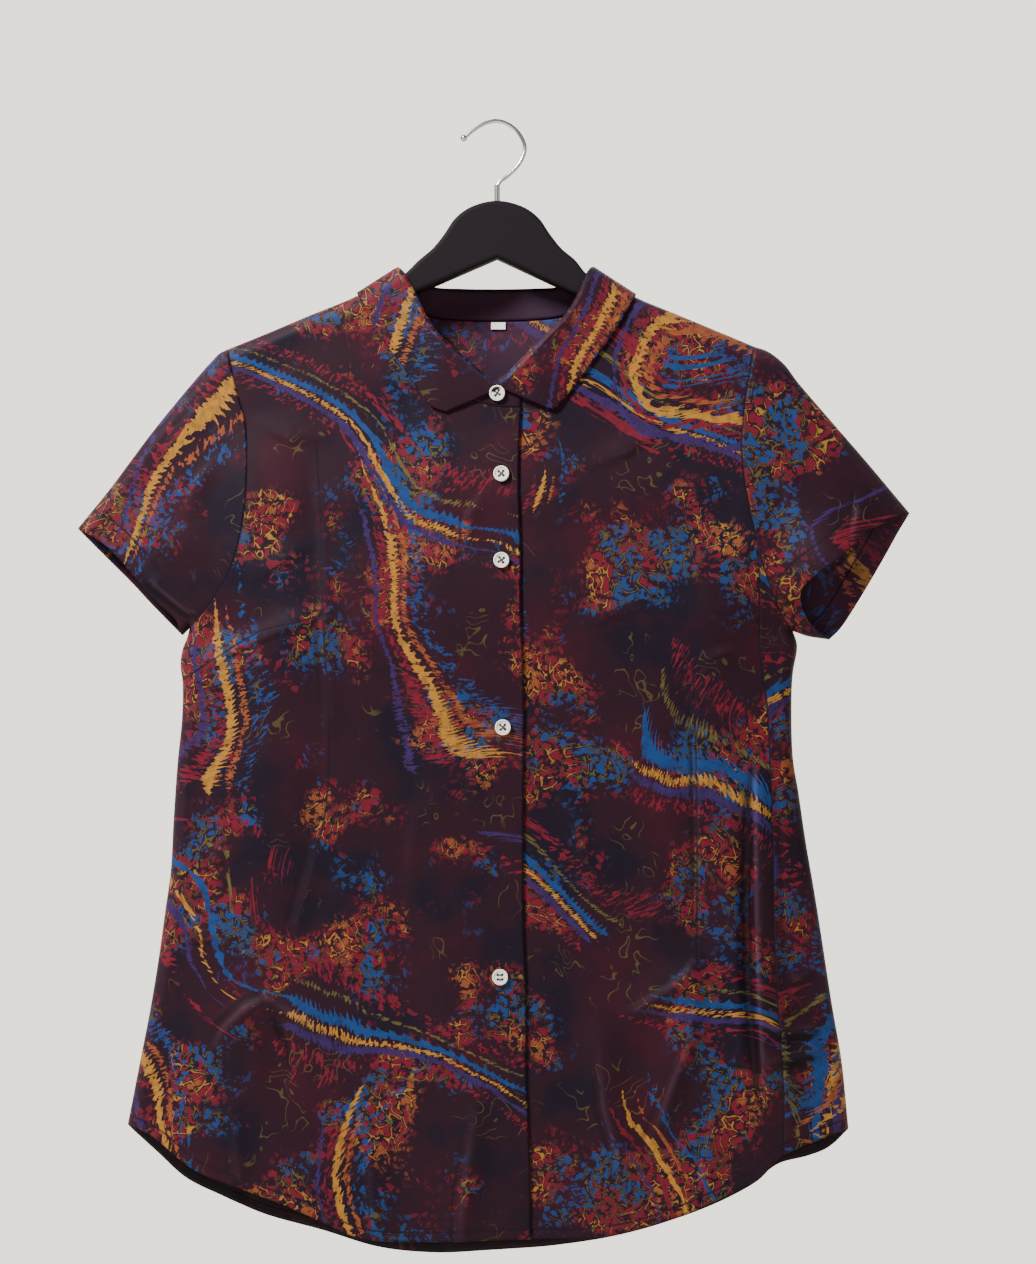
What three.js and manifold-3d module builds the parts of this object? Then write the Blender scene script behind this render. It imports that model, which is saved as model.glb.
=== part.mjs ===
import * as THREE from 'three';
import { mergeVertices } from 'three/addons/utils/BufferGeometryUtils.js';
import Module from 'manifold-3d';

// A short-sleeved collared shirt that hangs on a shaped hanger, in millimetres.
// X runs to the viewer's right, Y away from the viewer, Z up.
// The origin is the inside top of the hanger's hook, where it hangs.
// Wearer's right is the viewer's left.

// Driving dimensions
const wallThickness = 1.2;
const seamGap = 0.3;
const hangerThickness = 14;
const hangerClearance = seamGap + 0.5;
const foldRadius = hangerThickness / 2 + hangerClearance + wallThickness / 2;
const fullnessReach = 70; // distance from a fold over which the cloth fills out
const foldsReach = 25; // the same for the cloth's folds
const overlapStep = wallThickness + 0.9; // the top front lies this much before the under front
const collarLift = 3; // the fall's mid surface stands this much off what it covers
const collarEdgeLift = 2.2;
const rollGap = 0.6; // between the stand's top edge and the fall that turns over it
const underarmClearances = [1, 0.7, 0.5]; // the sleeve's last rows start this far from the body's side
const buttonRadius = 5.6;
const buttonThickness = 2.2;
const buttonHoleRadius = 0.8;
const buttonHolePitch = 3.2;
const armDrop = 5.2; // from the middle of the cloth's fold to the top of the hanger's arm
const wireRadius = 1.5;
const shankRadius = 2.2;
const ballRadius = 2.55;
const socketDepth = 14;
const rowsInArmhole = 13;
const rowsInSide = 19;
const rowsInNeck = 9;
const columnsInFront = 15;
const columnsInWrap = 4;
const columnsInSleeve = 6;

const shirtCloth = new THREE.MeshStandardMaterial({ color: 0x38202c, roughness: 0.62, metalness: 0 });
const labelCloth = new THREE.MeshStandardMaterial({ color: 0xe8e6e0, roughness: 0.8, metalness: 0 });
const buttonResin = new THREE.MeshStandardMaterial({ color: 0xe1ded6, roughness: 0.3, metalness: 0 });
const hangerPlastic = new THREE.MeshStandardMaterial({ color: 0x2a2629, roughness: 0.5, metalness: 0 });
const hookChrome = new THREE.MeshStandardMaterial({ color: 0xc8c8cc, roughness: 0.15, metalness: 1 });

// A table holds one object for each row, with the columns named once
function table(columns, rows) {
  const names = columns.split(' ');
  return rows.map((row) => Object.fromEntries(names.map((name, i) => [name, row[i]])));
}

// Outlines of the garment as it hangs, seen from the front
const shoulderRight = table('x z', [[-194, -163], [-168, -152.5], [-136, -139], [-100, -124], [-80, -111.9]]);
const shoulderLeft = table('x z', [[185, -161], [160, -150.5], [130, -138], [99, -125], [79, -112.6]]);
const standSideRight = table('x z', [[-80, -111.9], [-75, -108.9], [-70, -105.8]]);
const standSideLeft = table('x z', [[79, -112.6], [73, -108.9], [67.5, -105.5]]);
const sleeveTopRight = table('x z', [
  [-194, -163], [-200, -166], [-204, -170], [-214, -181], [-247, -221], [-280, -265], [-302, -292],
]);
const sleeveTopLeft = table('x z', [
  [185, -161], [195, -164.5], [207, -174], [216, -186], [240, -214], [266, -244], [297, -281],
]);
const armholeFrontRight = table('x z', [
  [-194, -163], [-188, -190], [-181, -216], [-180, -242], [-181, -269], [-184, -291], [-190, -315],
  [-201, -337], [-214, -355], [-221.5, -364],
]);
const armholeBackRight = table('x z', [
  [-194, -163], [-191, -190], [-187, -216], [-186, -242], [-187, -269], [-190, -291], [-196, -315],
  [-205, -337], [-215, -355], [-221.5, -364],
]);
const armholeFrontLeft = table('x z', [
  [185, -161], [181, -184], [178, -205], [176, -230], [177.5, -250], [180, -268], [185, -291], [188, -304],
]);
const armholeUnderLeft = table('x z', [[188, -304], [192, -319], [200, -342], [206, -356], [213, -366]]);
const armholeBackLeft = table('x z', [
  [185, -161], [183, -190], [180, -216], [180, -242], [182, -269], [186, -291], [192, -315],
  [200, -340], [207, -356], [213, -366],
]);
const sideRight = table('x z', [
  [-221.5, -364], [-223, -370], [-226.5, -379], [-228, -390], [-226.5, -403], [-227, -430],
  [-230, -459], [-233, -502], [-235, -538], [-239, -567], [-244, -603], [-250, -639], [-257, -675],
  [-266, -721],
]);
const sideLeft = table('x z', [
  [213, -366], [216, -376], [213, -396], [212, -415], [213, -457], [217, -482], [222, -516],
  [228, -551], [233, -582], [241, -634], [248, -675], [253, -724],
]);
const seamLeft = table('x z', [
  [188, -304], [189, -329], [189, -356], [190, -386], [194, -415], [197, -466], [199, -530],
  [199.5, -588], [202, -631], [205, -674], [206.5, -711], [206, -743.5],
]);
const hemFrontRight = table('x z', [
  [-266, -721], [-248, -730], [-220, -753], [-189, -766], [-154, -779], [-127, -791], [-99, -803],
  [-63, -806], [-27, -805.5], [24, -804],
]);
const hemFrontLeft = table('x z', [
  [206, -743.5], [198, -750.5], [188, -761], [162, -774], [135, -786], [98, -798], [67, -803], [24, -803.5], [-13, -803.5],
]);
const hemWrapLeft = table('x z', [[206, -743.5], [216, -738.5], [235, -731], [253, -724]]);
const hemBackRight = table('x z', [
  [-266, -721], [-244, -741], [-224, -759], [-198, -772], [-168, -785], [-125, -797], [-85, -809],
  [-45, -813], [0, -811],
]);
const hemBackLeft = table('x z', [
  [253, -724], [238, -737.5], [223, -743.5], [205, -748], [197, -752.5], [188, -761],
  [162, -775.5], [125, -790], [85, -801], [40, -808], [0, -811],
]);
const neckFrontRight = table('x z', [
  [-80, -111.9], [-76, -134], [-62, -160], [-40, -184], [-16, -200], [0, -204.5], [17, -205],
]);
const neckFrontLeft = table('x z', [
  [79, -112.6], [75, -134], [61, -160], [40, -184], [17, -199], [0, -204], [-13, -205],
]);
const neckBackRight = table('x z', [[-80, -111.9], [-72, -127], [-49, -139.5], [-25, -142.6], [0, -143]]);
const neckBackLeft = table('x z', [[79, -112.6], [72, -127], [49, -139], [25, -142.4], [0, -143]]);
const edgeTop = table('x z', [
  [17, -205], [15.5, -253], [17, -308], [17, -351], [19, -395], [19, -516], [19, -574], [21, -631],
  [21, -684], [24, -759], [24, -804],
]);
const edgeUnder = table('x z', [[-13, -205], [-13, -400], [-12, -600], [-13, -803.5]]);
const centreBack = table('x z', [[0, -143], [0, -400], [0, -811]]);
const cuffFrontRight = table('x z', [
  [-302, -292], [-283, -303.5], [-268, -319], [-254, -336], [-243, -347], [-233, -356], [-229, -363],
  [-226.5, -369],
]);
const cuffBackRight = table('x z', [[-302, -292], [-279, -315], [-262, -332], [-250, -345], [-226.5, -369]]);
const cuffFrontLeft = table('x z', [
  [297, -281], [271, -292], [248, -312], [229, -326], [219, -336], [219, -347], [226, -361], [239, -372],
]);
const cuffBackLeft = table('x z', [
  [297, -281], [289, -294], [279, -312], [262, -341], [247, -364], [239, -372],
]);
const underarmRight = table('x z', [[-221.5, -364], [-224, -366.5], [-226.5, -369]]);
const underarmLeft = table('x z', [[213, -366], [223, -369.5], [239, -372]]);

// The collar's roll line and outer edge, from the front end to the side
const rollFrontRight = table('x z', [
  [-70, -105.8], [-65, -113], [-60, -122], [-54, -135], [-44, -151], [-25, -168], [-5, -184], [17, -190],
]);
const rollFrontLeft = table('x z', [
  [67.5, -105.5], [63, -113], [58, -125], [50, -138], [37, -151], [24, -164], [3, -184], [-13, -190],
]);
const rollBackRight = table('x z', [[-70, -105.8], [-63, -112.5], [-47, -119], [-25, -120.6], [0, -121]]);
const rollBackLeft = table('x z', [[67.5, -105.5], [62, -112], [47, -118.6], [25, -120.4], [0, -121]]);
const fallFrontRight = table('x z', [
  [-100, -124], [-86, -151], [-72, -170], [-59, -189], [-49, -202.6], [-48, -204], [-46.4, -204.8],
  [-38.6, -207.6], [-37, -208],
]);
const fallFrontLeft = table('x z', [[99, -125], [84, -151], [68, -173], [51, -195], [42, -205], [39, -206]]);
const fallBackRight = table('x z', [[-100, -124], [-95, -143], [-78, -160], [-45, -168], [0, -170]]);
const fallBackLeft = table('x z', [[99, -125], [95, -143], [78, -160], [45, -168], [0, -170]]);

// How far each layer stands off the garment's middle plane beyond the fold radius, by height
const fullness = table('z front back', [
  [-100, 0, 0], [-200, 2, 2], [-280, 9, 4], [-350, 13, 6], [-450, 10, 5], [-560, 7, 5], [-700, 11, 8],
  [-815, 14, 10],
]);
const sleeveFullness = 4;
const sleeveFrom = { x: 175, xOver: 35, z: -395, zOver: 40 };
const neckBow = { height: 14, x: 62, z: 70, at: -138, foldReach: 45 };
const cuffBulge = { height: 20, x: 242, z: -322, reach: 42, foldReach: 30 };

// The top front steps forward where the under front begins, and the collar's other side reaches
// over that step
const overlapFrom = { x: -72, over: 34 };
const coverTo = { x: 28, over: 30 };

// Folds: a line from start to end, its half width and how far it stands out (or in, when negative)
const folds = table('side x0 z0 x1 z1 width rise', [
  ['front', 187, -462, 190, -600, 16, 4],
  ['front', 190, -600, 197, -712, 17, 5],
  ['front', -133, -235, -127, -430, 13, -1.5],
  ['front', -125, -440, -146, -596, 13, -2],
  ['front', -166, -632, -206, -668, 13, 3],
  ['front', -168, -632, -120, -662, 13, 3],
  ['front', -165, -640, -154, -700, 12, -2.5],
  ['front', 140, -390, 145, -600, 13, -2],
  ['front', 143, -606, 92, -640, 13, 3],
  ['front', 143, -610, 118, -724, 14, 3.5],
  ['front', 72, -640, 86, -762, 14, 3],
  ['front', -16, -700, -27, -800, 13, 2.5],
  ['front', -226, -402, -122, -353, 12, 1.5],
  ['front', 190, -361, 142, -348, 12, 1.5],
  ['back', -60, -260, -75, -520, 18, 2.5],
  ['back', 70, -300, 62, -560, 17, -2.5],
  ['back', -120, -560, -150, -770, 18, 4],
  ['back', -20, -600, -30, -800, 18, -3],
  ['back', 90, -570, 120, -780, 18, 4],
  ['back', 10, -420, 40, -640, 16, 2],
]);

const foldEnd = { beyond: 15, over: 40 }; // how a fold fades at its ends

// Buttons, top to bottom
const buttons = table('x z', [[0, -194.5], [3, -253], [3, -315], [4, -435], [2, -615]]);

// Hanger outline, right half then left half, from the middle outwards
const hangerTop = table('x z', [[0, -57], [19, -61.5], [30, -69.5], [38, -81], [46, -91], [56, -99.5]]);
const hangerArmRight = table('x z', [[-184, -176], [-140, -162], [-100, -144], [-60, -124]]);
const hangerArmLeft = table('x z', [[176, -173], [136, -160], [98, -143.5], [58, -125]]);
const hangerApex = { x: 0, z: -98 };
const hookLine = table('x z', [
  [-24, -11], [-16, -4.5], [-8, 0], [0, 1.5], [9, -1.5], [16, -8], [20, -18], [16.5, -28.5], [9, -37],
  [2, -42.5], [-0.5, -46.5],
]);

// The curve through a table's points, sampled at given shares of its length
function sampled(points, shares) {
  if (points.length === 2) {
    const [a, b] = points;
    return shares.map((s) => ({ x: a.x + (b.x - a.x) * s, z: a.z + (b.z - a.z) * s }));
  }
  const places = points.map((p) => new THREE.Vector3(p.x, 0, p.z));
  const curve = new THREE.CatmullRomCurve3(places, false, 'centripetal');
  curve.arcLengthDivisions = 600;
  curve.updateArcLengths();
  return shares.map((s) => {
    const p = curve.getPointAt(s);
    return { x: p.x, z: p.z };
  });
}

function lengthOf(points) {
  const line = sampled(points, evenShares(100));
  return line.slice(1).reduce((sum, p, i) => sum + Math.hypot(p.x - line[i].x, p.z - line[i].z), 0);
}

function evenShares(count) {
  return Array.from({ length: count + 1 }, (_, i) => i / count);
}

// Shares of a length whose first steps (and last, where asked) are close together, to round a fold
const closeSteps = [0, 1.3, 4.5, 9.5];
function gradedShares(length, count, bothEnds = false) {
  const near = closeSteps.map((step) => step / length);
  const far = bothEnds ? near.map((share) => 1 - share).reverse() : [1];
  const between = count + 1 - near.length - far.length;
  const start = near[near.length - 1];
  const step = (far[0] - start) / (between + 1);
  const middle = Array.from({ length: between }, (_, i) => start + step * (i + 1));
  return [...near, ...middle, ...far];
}

// Fold lines, where the front layer turns over into the back layer, each with a place inside its cloth
const garmentMiddle = { x: 0, z: -420 };
const sleeveMiddleRight = { x: -215, z: -280 };
const sleeveMiddleLeft = { x: 210, z: -280 };
const foldLines = [
  { outline: standSideRight, inside: garmentMiddle },
  { outline: shoulderRight, inside: garmentMiddle },
  { outline: sleeveTopRight, inside: sleeveMiddleRight },
  { outline: underarmRight, inside: sleeveMiddleRight },
  { outline: sideRight, inside: garmentMiddle },
  { outline: standSideLeft, inside: garmentMiddle },
  { outline: shoulderLeft, inside: garmentMiddle },
  { outline: sleeveTopLeft, inside: sleeveMiddleLeft },
  { outline: underarmLeft, inside: sleeveMiddleLeft },
  { outline: sideLeft, inside: garmentMiddle },
].map(({ outline, inside }) => ({ line: sampled(outline, evenShares(60)), inside }));

// Distance to the nearest fold line, and the direction in the middle plane that leads away from it
function fromFold(x, z) {
  let best = { d: Infinity };
  for (const { line, inside } of foldLines) {
    for (let i = 1; i < line.length; i += 1) {
      const a = line[i - 1];
      const b = line[i];
      const ex = b.x - a.x;
      const ez = b.z - a.z;
      const long = ex * ex + ez * ez;
      const t = Math.min(1, Math.max(0, ((x - a.x) * ex + (z - a.z) * ez) / long));
      const dx = x - a.x - ex * t;
      const dz = z - a.z - ez * t;
      const d = Math.hypot(dx, dz);
      if (d < best.d) best = { d, dx, dz, a, ex, ez, inside };
    }
  }
  if (best.d > 0.6) return { d: best.d, gx: best.dx / best.d, gz: best.dz / best.d };
  const { a, ex, ez, inside } = best;
  const size = Math.hypot(ex, ez) * Math.sign(ex * (inside.z - a.z) - ez * (inside.x - a.x));
  return { d: best.d, gx: -ez / size, gz: ex / size };
}

function smooth(t) {
  const s = Math.min(1, Math.max(0, t));
  return s * s * (3 - 2 * s);
}

function byHeight(z, column) {
  const rows = fullness;
  if (z >= rows[0].z) return rows[0][column];
  for (let i = 1; i < rows.length; i += 1) {
    if (z >= rows[i].z) {
      const t = (z - rows[i - 1].z) / (rows[i].z - rows[i - 1].z);
      return rows[i - 1][column] + (rows[i][column] - rows[i - 1][column]) * smooth(t);
    }
  }
  return rows[rows.length - 1][column];
}

function foldRise(side, x, z) {
  let rise = 0;
  for (const f of folds) {
    if (f.side !== side) continue;
    const ex = f.x1 - f.x0;
    const ez = f.z1 - f.z0;
    const long = Math.hypot(ex, ez);
    const along = ((x - f.x0) * ex + (z - f.z0) * ez) / long;
    const across = ((x - f.x0) * ez - (z - f.z0) * ex) / long;
    const near = smooth((along + foldEnd.beyond) / foldEnd.over);
    const far = smooth((long + foldEnd.beyond - along) / foldEnd.over);
    rise += f.rise * near * far * Math.exp(-((across / f.width) ** 2));
  }
  return rise;
}

// Fullness, bows and folds of one layer, without its rounding at the fold lines
function fill(side, x, z, d) {
  const outwards = smooth((Math.abs(x) - sleeveFrom.x) / sleeveFrom.xOver);
  const inSleeve = outwards * smooth((z - sleeveFrom.z) / sleeveFrom.zOver);
  const body = byHeight(z, side);
  let rise = (body + (sleeveFullness - body) * inSleeve) * smooth(d / fullnessReach);
  if (side === 'back') {
    const spread = Math.exp(-((x / neckBow.x) ** 2) - ((z - neckBow.at) / neckBow.z) ** 2);
    rise += neckBow.height * spread * smooth(d / neckBow.foldReach);
  } else {
    const away = Math.hypot(x - cuffBulge.x, z - cuffBulge.z) / cuffBulge.reach;
    rise += cuffBulge.height * Math.exp(-(away ** 2)) * smooth(d / cuffBulge.foldReach);
  }
  return rise + foldRise(side, x, z) * smooth(d / foldsReach);
}

// A place on one layer and the outward normal there; on a fold it keeps half the seam's gap to the
// other layer
function layer(side, x, z, onFold = false, foldGap = seamGap / 2) {
  const sign = side === 'front' ? -1 : 1;
  const { d, gx, gz } = fromFold(x, z);
  if (onFold) {
    return { point: new THREE.Vector3(x, sign * foldGap, z), normal: new THREE.Vector3(-gx, 0, -gz) };
  }
  const inRound = Math.min(1, d / foldRadius);
  const round = Math.sqrt(Math.max(0, 1 - (1 - inRound) ** 2));
  const h = foldRadius * round + fill(side, x, z, d);
  const steep = inRound < 1 ? (1 - inRound) / Math.max(round, 0.02) : 0;
  const step = 0.6;
  const fillAt = (u, v) => fill(side, u, v, fromFold(u, v).d);
  const fx = steep * gx + (fillAt(x + step, z) - fillAt(x - step, z)) / (2 * step);
  const fz = steep * gz + (fillAt(x, z + step) - fillAt(x, z - step)) / (2 * step);
  return {
    point: new THREE.Vector3(x, sign * Math.max(foldGap, h), z),
    normal: new THREE.Vector3(-fx, sign, -fz).normalize(),
  };
}

// A grid between four sampled edges: each inner point blends its two pairs of edges
function blended(top, bottom, left, right) {
  const across = shareOf(top).map((s, i) => (s + shareOf(bottom)[i]) / 2);
  const down = shareOf(left).map((s, i) => (s + shareOf(right)[i]) / 2);
  return left.map((_, j) => top.map((__, i) => {
    const u = across[i];
    const v = down[j];
    const mix = (key) => (1 - v) * top[i][key] + v * bottom[i][key] + (1 - u) * left[j][key] + u * right[j][key]
      - (1 - u) * (1 - v) * top[0][key] - u * (1 - v) * top[top.length - 1][key]
      - (1 - u) * v * bottom[0][key] - u * v * bottom[bottom.length - 1][key];
    return { x: mix('x'), z: mix('z') };
  }));
}

function shareOf(line) {
  const sums = [0];
  for (let i = 1; i < line.length; i += 1) {
    sums.push(sums[i - 1] + Math.hypot(line[i].x - line[i - 1].x, line[i].z - line[i - 1].z));
  }
  return sums.map((s) => s / Math.max(sums[sums.length - 1], 1e-9));
}

// Moves a grid's edge towards its inside, so that two pieces keep the seam's gap
function drawnIn(grid, { top = false, bottom = false, left = false, right = false }) {
  const last = grid.length - 1;
  const end = grid[0].length - 1;
  const out = grid.map((row) => row.map((p) => ({ ...p })));
  const pull = (target, from, towards) => {
    const size = Math.hypot(towards.x - from.x, towards.z - from.z);
    if (size < 1e-6) return;
    const share = Math.min(0.4, seamGap / 2 / size);
    target.x += (towards.x - from.x) * share;
    target.z += (towards.z - from.z) * share;
  };
  grid.forEach((row, j) => {
    if (left) pull(out[j][0], row[0], row[1]);
    if (right) pull(out[j][end], row[end], row[end - 1]);
  });
  grid[0].forEach((_, i) => {
    if (top) pull(out[0][i], grid[0][i], grid[1][i]);
    if (bottom) pull(out[last][i], grid[last][i], grid[last - 1][i]);
  });
  return out;
}

// The outlines were measured where the photograph's view meets the middle plane. What lies nearer the camera
// looks larger there, so it is drawn towards the middle of the view, and what lies behind is spread
const viewpoint = { x: 15, z: -366.5, distance: 1250 };

function asSeen(x, y, z) {
  const scale = 1 + y / viewpoint.distance;
  return [viewpoint.x + (x - viewpoint.x) * scale, y, viewpoint.z + (z - viewpoint.z) * scale];
}

// A mid surface: places, outward normals and four-cornered cells, joined where its grids meet
class Surface {
  constructor() {
    this.places = [];
    this.normals = [];
    this.cells = [];
    this.known = new Map();
  }

  add(point, normal) {
    const key = [point.x, point.y, point.z].map((v) => Math.round(v * 500)).join(' ');
    if (this.known.has(key)) return this.known.get(key);
    this.known.set(key, this.places.length);
    this.places.push(point);
    this.normals.push(normal);
    return this.places.length - 1;
  }

  // Cells wind so that, over the whole grid, their faces look along the outward normals
  grid(rows) {
    const numbers = rows.map((row) => row.map(({ point, normal }) => this.add(point, normal)));
    const cells = [];
    for (let j = 1; j < rows.length; j += 1) {
      for (let i = 1; i < rows[0].length; i += 1) {
        cells.push([numbers[j - 1][i - 1], numbers[j - 1][i], numbers[j][i], numbers[j][i - 1]]);
      }
    }
    const facing = cells.reduce((sum, cell) => sum + this.facing(cell), 0);
    for (const cell of cells) {
      const turned = facing < 0 ? cell.slice().reverse() : cell;
      this.cells.push(turned.filter((n, i) => n !== turned[(i + 1) % 4]));
    }
    return this;
  }

  facing(corners) {
    const [a, b, c, d] = corners.map((n) => this.places[n]);
    const face = new THREE.Vector3().crossVectors(c.clone().sub(a), d.clone().sub(b));
    return corners.reduce((sum, n) => sum + face.dot(this.normals[n]), 0);
  }

  // The closed wall: the surface moved out and in by half the thickness, with its rims closed
  wall(thickness = wallThickness) {
    const count = this.places.length;
    const positions = [];
    for (const way of [0.5, -0.5]) {
      this.places.forEach((p, i) => {
        const q = p.clone().addScaledVector(this.normals[i], thickness * way);
        positions.push(...asSeen(q.x, q.y, q.z));
      });
    }
    const index = [];
    const edges = new Map();
    for (const cell of this.cells) {
      for (let k = 2; k < cell.length; k += 1) {
        index.push(cell[0], cell[k - 1], cell[k]);
        index.push(count + cell[0], count + cell[k], count + cell[k - 1]);
      }
      cell.forEach((a, k) => {
        const b = cell[(k + 1) % cell.length];
        if (edges.has(`${b} ${a}`)) edges.delete(`${b} ${a}`);
        else edges.set(`${a} ${b}`, [a, b]);
      });
    }
    for (const [a, b] of edges.values()) index.push(b, a, count + a, b, count + a, count + b);
    const geometry = new THREE.BufferGeometry();
    geometry.setAttribute('position', new THREE.Float32BufferAttribute(positions, 3));
    geometry.setIndex(index);
    return geometry;
  }
}

// A grid laid on one layer: moved out where asked, and folded where the given rows and columns say
function laid(side, grid, { extra = () => 0, onFold = () => false, foldGap } = {}) {
  return grid.map((row, j) => row.map((p, i) => {
    const { point, normal } = layer(side, p.x, p.z, onFold(j, i), foldGap);
    point.addScaledVector(normal, extra(p.x, p.z));
    return { point, normal };
  }));
}

// Shares along the edges that neighbouring pieces have in common
const armholeShares = gradedShares(lengthOf(armholeFrontRight), rowsInArmhole, true);
const openArmholeShares = gradedShares(lengthOf(armholeFrontLeft), rowsInArmhole);
const sideShares = evenShares(rowsInSide);
const neckShares = gradedShares(lengthOf(neckFrontRight), rowsInNeck);
const backNeckShares = gradedShares(lengthOf(neckBackRight), rowsInNeck);
const acrossShares = gradedShares(290, columnsInFront);
const wrapShares = gradedShares(50, columnsInWrap).map((s) => 1 - s).reverse();
const centreShares = evenShares(rowsInArmhole + rowsInSide - rowsInNeck);

const seamPoints = sampled(seamLeft, sideShares);
const armholes = {
  frontRight: sampled(armholeFrontRight, armholeShares),
  backRight: sampled(armholeBackRight, armholeShares),
  frontLeft: sampled(armholeFrontLeft, openArmholeShares),
  underLeft: sampled(armholeUnderLeft, wrapShares),
  backLeft: sampled(armholeBackLeft, armholeShares),
};

// A body panel: shoulder at the top, armhole and side at one edge, neck and centre at the other
function bodyGrid(shoulder, armhole, side, neck, neckAt, centre, hem) {
  const shoulderLine = sampled(shoulder, acrossShares);
  const hemLine = sampled(hem, acrossShares);
  const outer = [...armhole, ...side.slice(1)];
  const inner = [...sampled(neck, neckAt), ...sampled(centre, centreShares).slice(1)];
  return blended(shoulderLine, hemLine, outer, inner);
}

// How far the top front is moved forward: nothing at its side, a step where the under front begins
function overStep(x) {
  return overlapStep * smooth((x - overlapFrom.x) / overlapFrom.over);
}

function frontRight() {
  const side = sampled(sideRight, sideShares);
  const grid = bodyGrid(
    shoulderRight, armholes.frontRight, side, neckFrontRight, neckShares, edgeTop, hemFrontRight,
  );
  const drawn = drawnNeckAndArmhole(grid);
  const onFold = (j, i) => j === 0 || (i === 0 && j >= rowsInArmhole);
  return new Surface().grid(laid('front', drawn, { extra: overStep, onFold })).wall();
}

function frontLeft() {
  const grid = bodyGrid(
    shoulderLeft, armholes.frontLeft, seamPoints, neckFrontLeft, neckShares, edgeUnder, hemFrontLeft,
  );
  const drawn = drawnNeckAndArmhole(grid, rowsInArmhole + rowsInSide);
  return new Surface().grid(laid('front', drawn, { onFold: (j) => j === 0 })).wall();
}

// Draws in the armhole (and seam rows below it, where asked) and the neck edge
function drawnNeckAndArmhole(grid, sideRows = rowsInArmhole) {
  const drawn = drawnIn(grid, { left: true, right: true });
  return drawn.map((row, j) => row.map((p, i) => {
    const atSide = i === 0 && j > sideRows;
    const atCentre = i === row.length - 1 && j > rowsInNeck;
    return atSide || atCentre ? grid[j][i] : p;
  }));
}

// The wrapped strip of the back, between the side seam on the front and the fold
function wrapGrid() {
  const hem = sampled(hemWrapLeft, wrapShares);
  const grid = blended(armholes.underLeft, hem, seamPoints, sampled(sideLeft, sideShares));
  return drawnIn(grid, { top: true, left: true });
}

function back() {
  const surface = new Surface();
  const right = bodyGrid(
    shoulderRight, armholes.backRight, sampled(sideRight, sideShares), neckBackRight, backNeckShares, centreBack,
    hemBackRight,
  );
  const left = bodyGrid(
    shoulderLeft, armholes.backLeft, sampled(sideLeft, sideShares), neckBackLeft, backNeckShares, centreBack,
    hemBackLeft,
  );
  const onFold = (j, i) => j === 0 || (i === 0 && j >= rowsInArmhole);
  surface.grid(laid('back', drawnNeckAndArmhole(right), { onFold }));
  const drawnLeft = drawnNeckAndArmhole(left);
  const wrap = wrapGrid();
  const fold = rowsInArmhole;
  drawnLeft[fold][0] = wrap[0][wrap[0].length - 1];
  const leftPoints = laid('back', drawnLeft, { onFold });
  const wrapPoints = laid('front', wrap);
  wrapPoints.forEach((row, j) => {
    const shared = leftPoints[fold + j][0];
    shared.point.y = 0;
    row[row.length - 1] = shared;
  });
  surface.grid(leftPoints);
  surface.grid(wrapPoints);
  return surface.wall();
}

function alongLine(from, to, distance) {
  const share = distance / Math.hypot(to.x - from.x, to.z - from.z);
  return { x: from.x + (to.x - from.x) * share, z: from.z + (to.z - from.z) * share };
}

// A sleeve: a flattened tube from the armhole to the cuff, its two layers joined at both folds
function sleeve(front, rear, topFold, underFold, cuffFront, cuffRear) {
  const shares = evenShares(columnsInSleeve);
  const top = sampled(topFold, shares);
  const under = sampled(underFold, shares);
  const surface = new Surface();
  for (const [side, armhole, cuff] of [['front', front, cuffFront], ['back', rear, cuffRear]]) {
    const cuffPoints = sampled(cuff, shareOf(armhole));
    const whole = blended(top, under, armhole, cuffPoints);
    const grid = drawnIn(whole, { left: true });
    const low = grid.length - 1;
    underarmClearances.forEach((clearance, up) => {
      grid[low - up][0] = alongLine(whole[low - up][0], whole[low - up][1], clearance);
    });
    const onFold = (j) => j === 0 || j === grid.length - 1;
    surface.grid(laid(side, grid, { onFold, foldGap: 0 }));
  }
  return surface.wall();
}

function sleeveRight() {
  return sleeve(
    armholes.frontRight, armholes.backRight, sleeveTopRight, underarmRight, cuffFrontRight, cuffBackRight,
  );
}

function sleeveLeft() {
  const front = [...armholes.frontLeft, ...armholes.underLeft.slice(1)];
  return sleeve(front, armholes.backLeft, sleeveTopLeft, underarmLeft, cuffFrontLeft, cuffBackLeft);
}

// The stand: four quarter grids between the neck seam and the roll line
function stand() {
  const surface = new Surface();
  const quarters = [
    ['front', neckFrontRight, rollFrontRight, neckShares, overStep],
    ['front', neckFrontLeft, rollFrontLeft, neckShares, () => 0],
    ['back', neckBackRight, rollBackRight, backNeckShares, () => 0],
    ['back', neckBackLeft, rollBackLeft, backNeckShares, () => 0],
  ];
  const heights = evenShares(3);
  for (const [side, neck, roll, shares, extra] of quarters) {
    const low = sampled(neck, shares);
    const high = sampled(roll, shares);
    const grid = low.map((p, k) => heights.map((t) => ({
      x: p.x + (high[k].x - p.x) * t,
      z: p.z + (high[k].z - p.z) * t,
    })));
    const drawn = drawnIn(grid, { left: true });
    surface.grid(laid(side, drawn, { extra, onFold: (k) => k === 0, foldGap: 0 }));
  }
  return surface.wall();
}

// How much further the fall on the under front reaches out, where the other stand's end lies on its own
function coverStep(x) {
  return overlapStep * (1 - smooth((x - coverTo.x) / coverTo.over));
}

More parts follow.
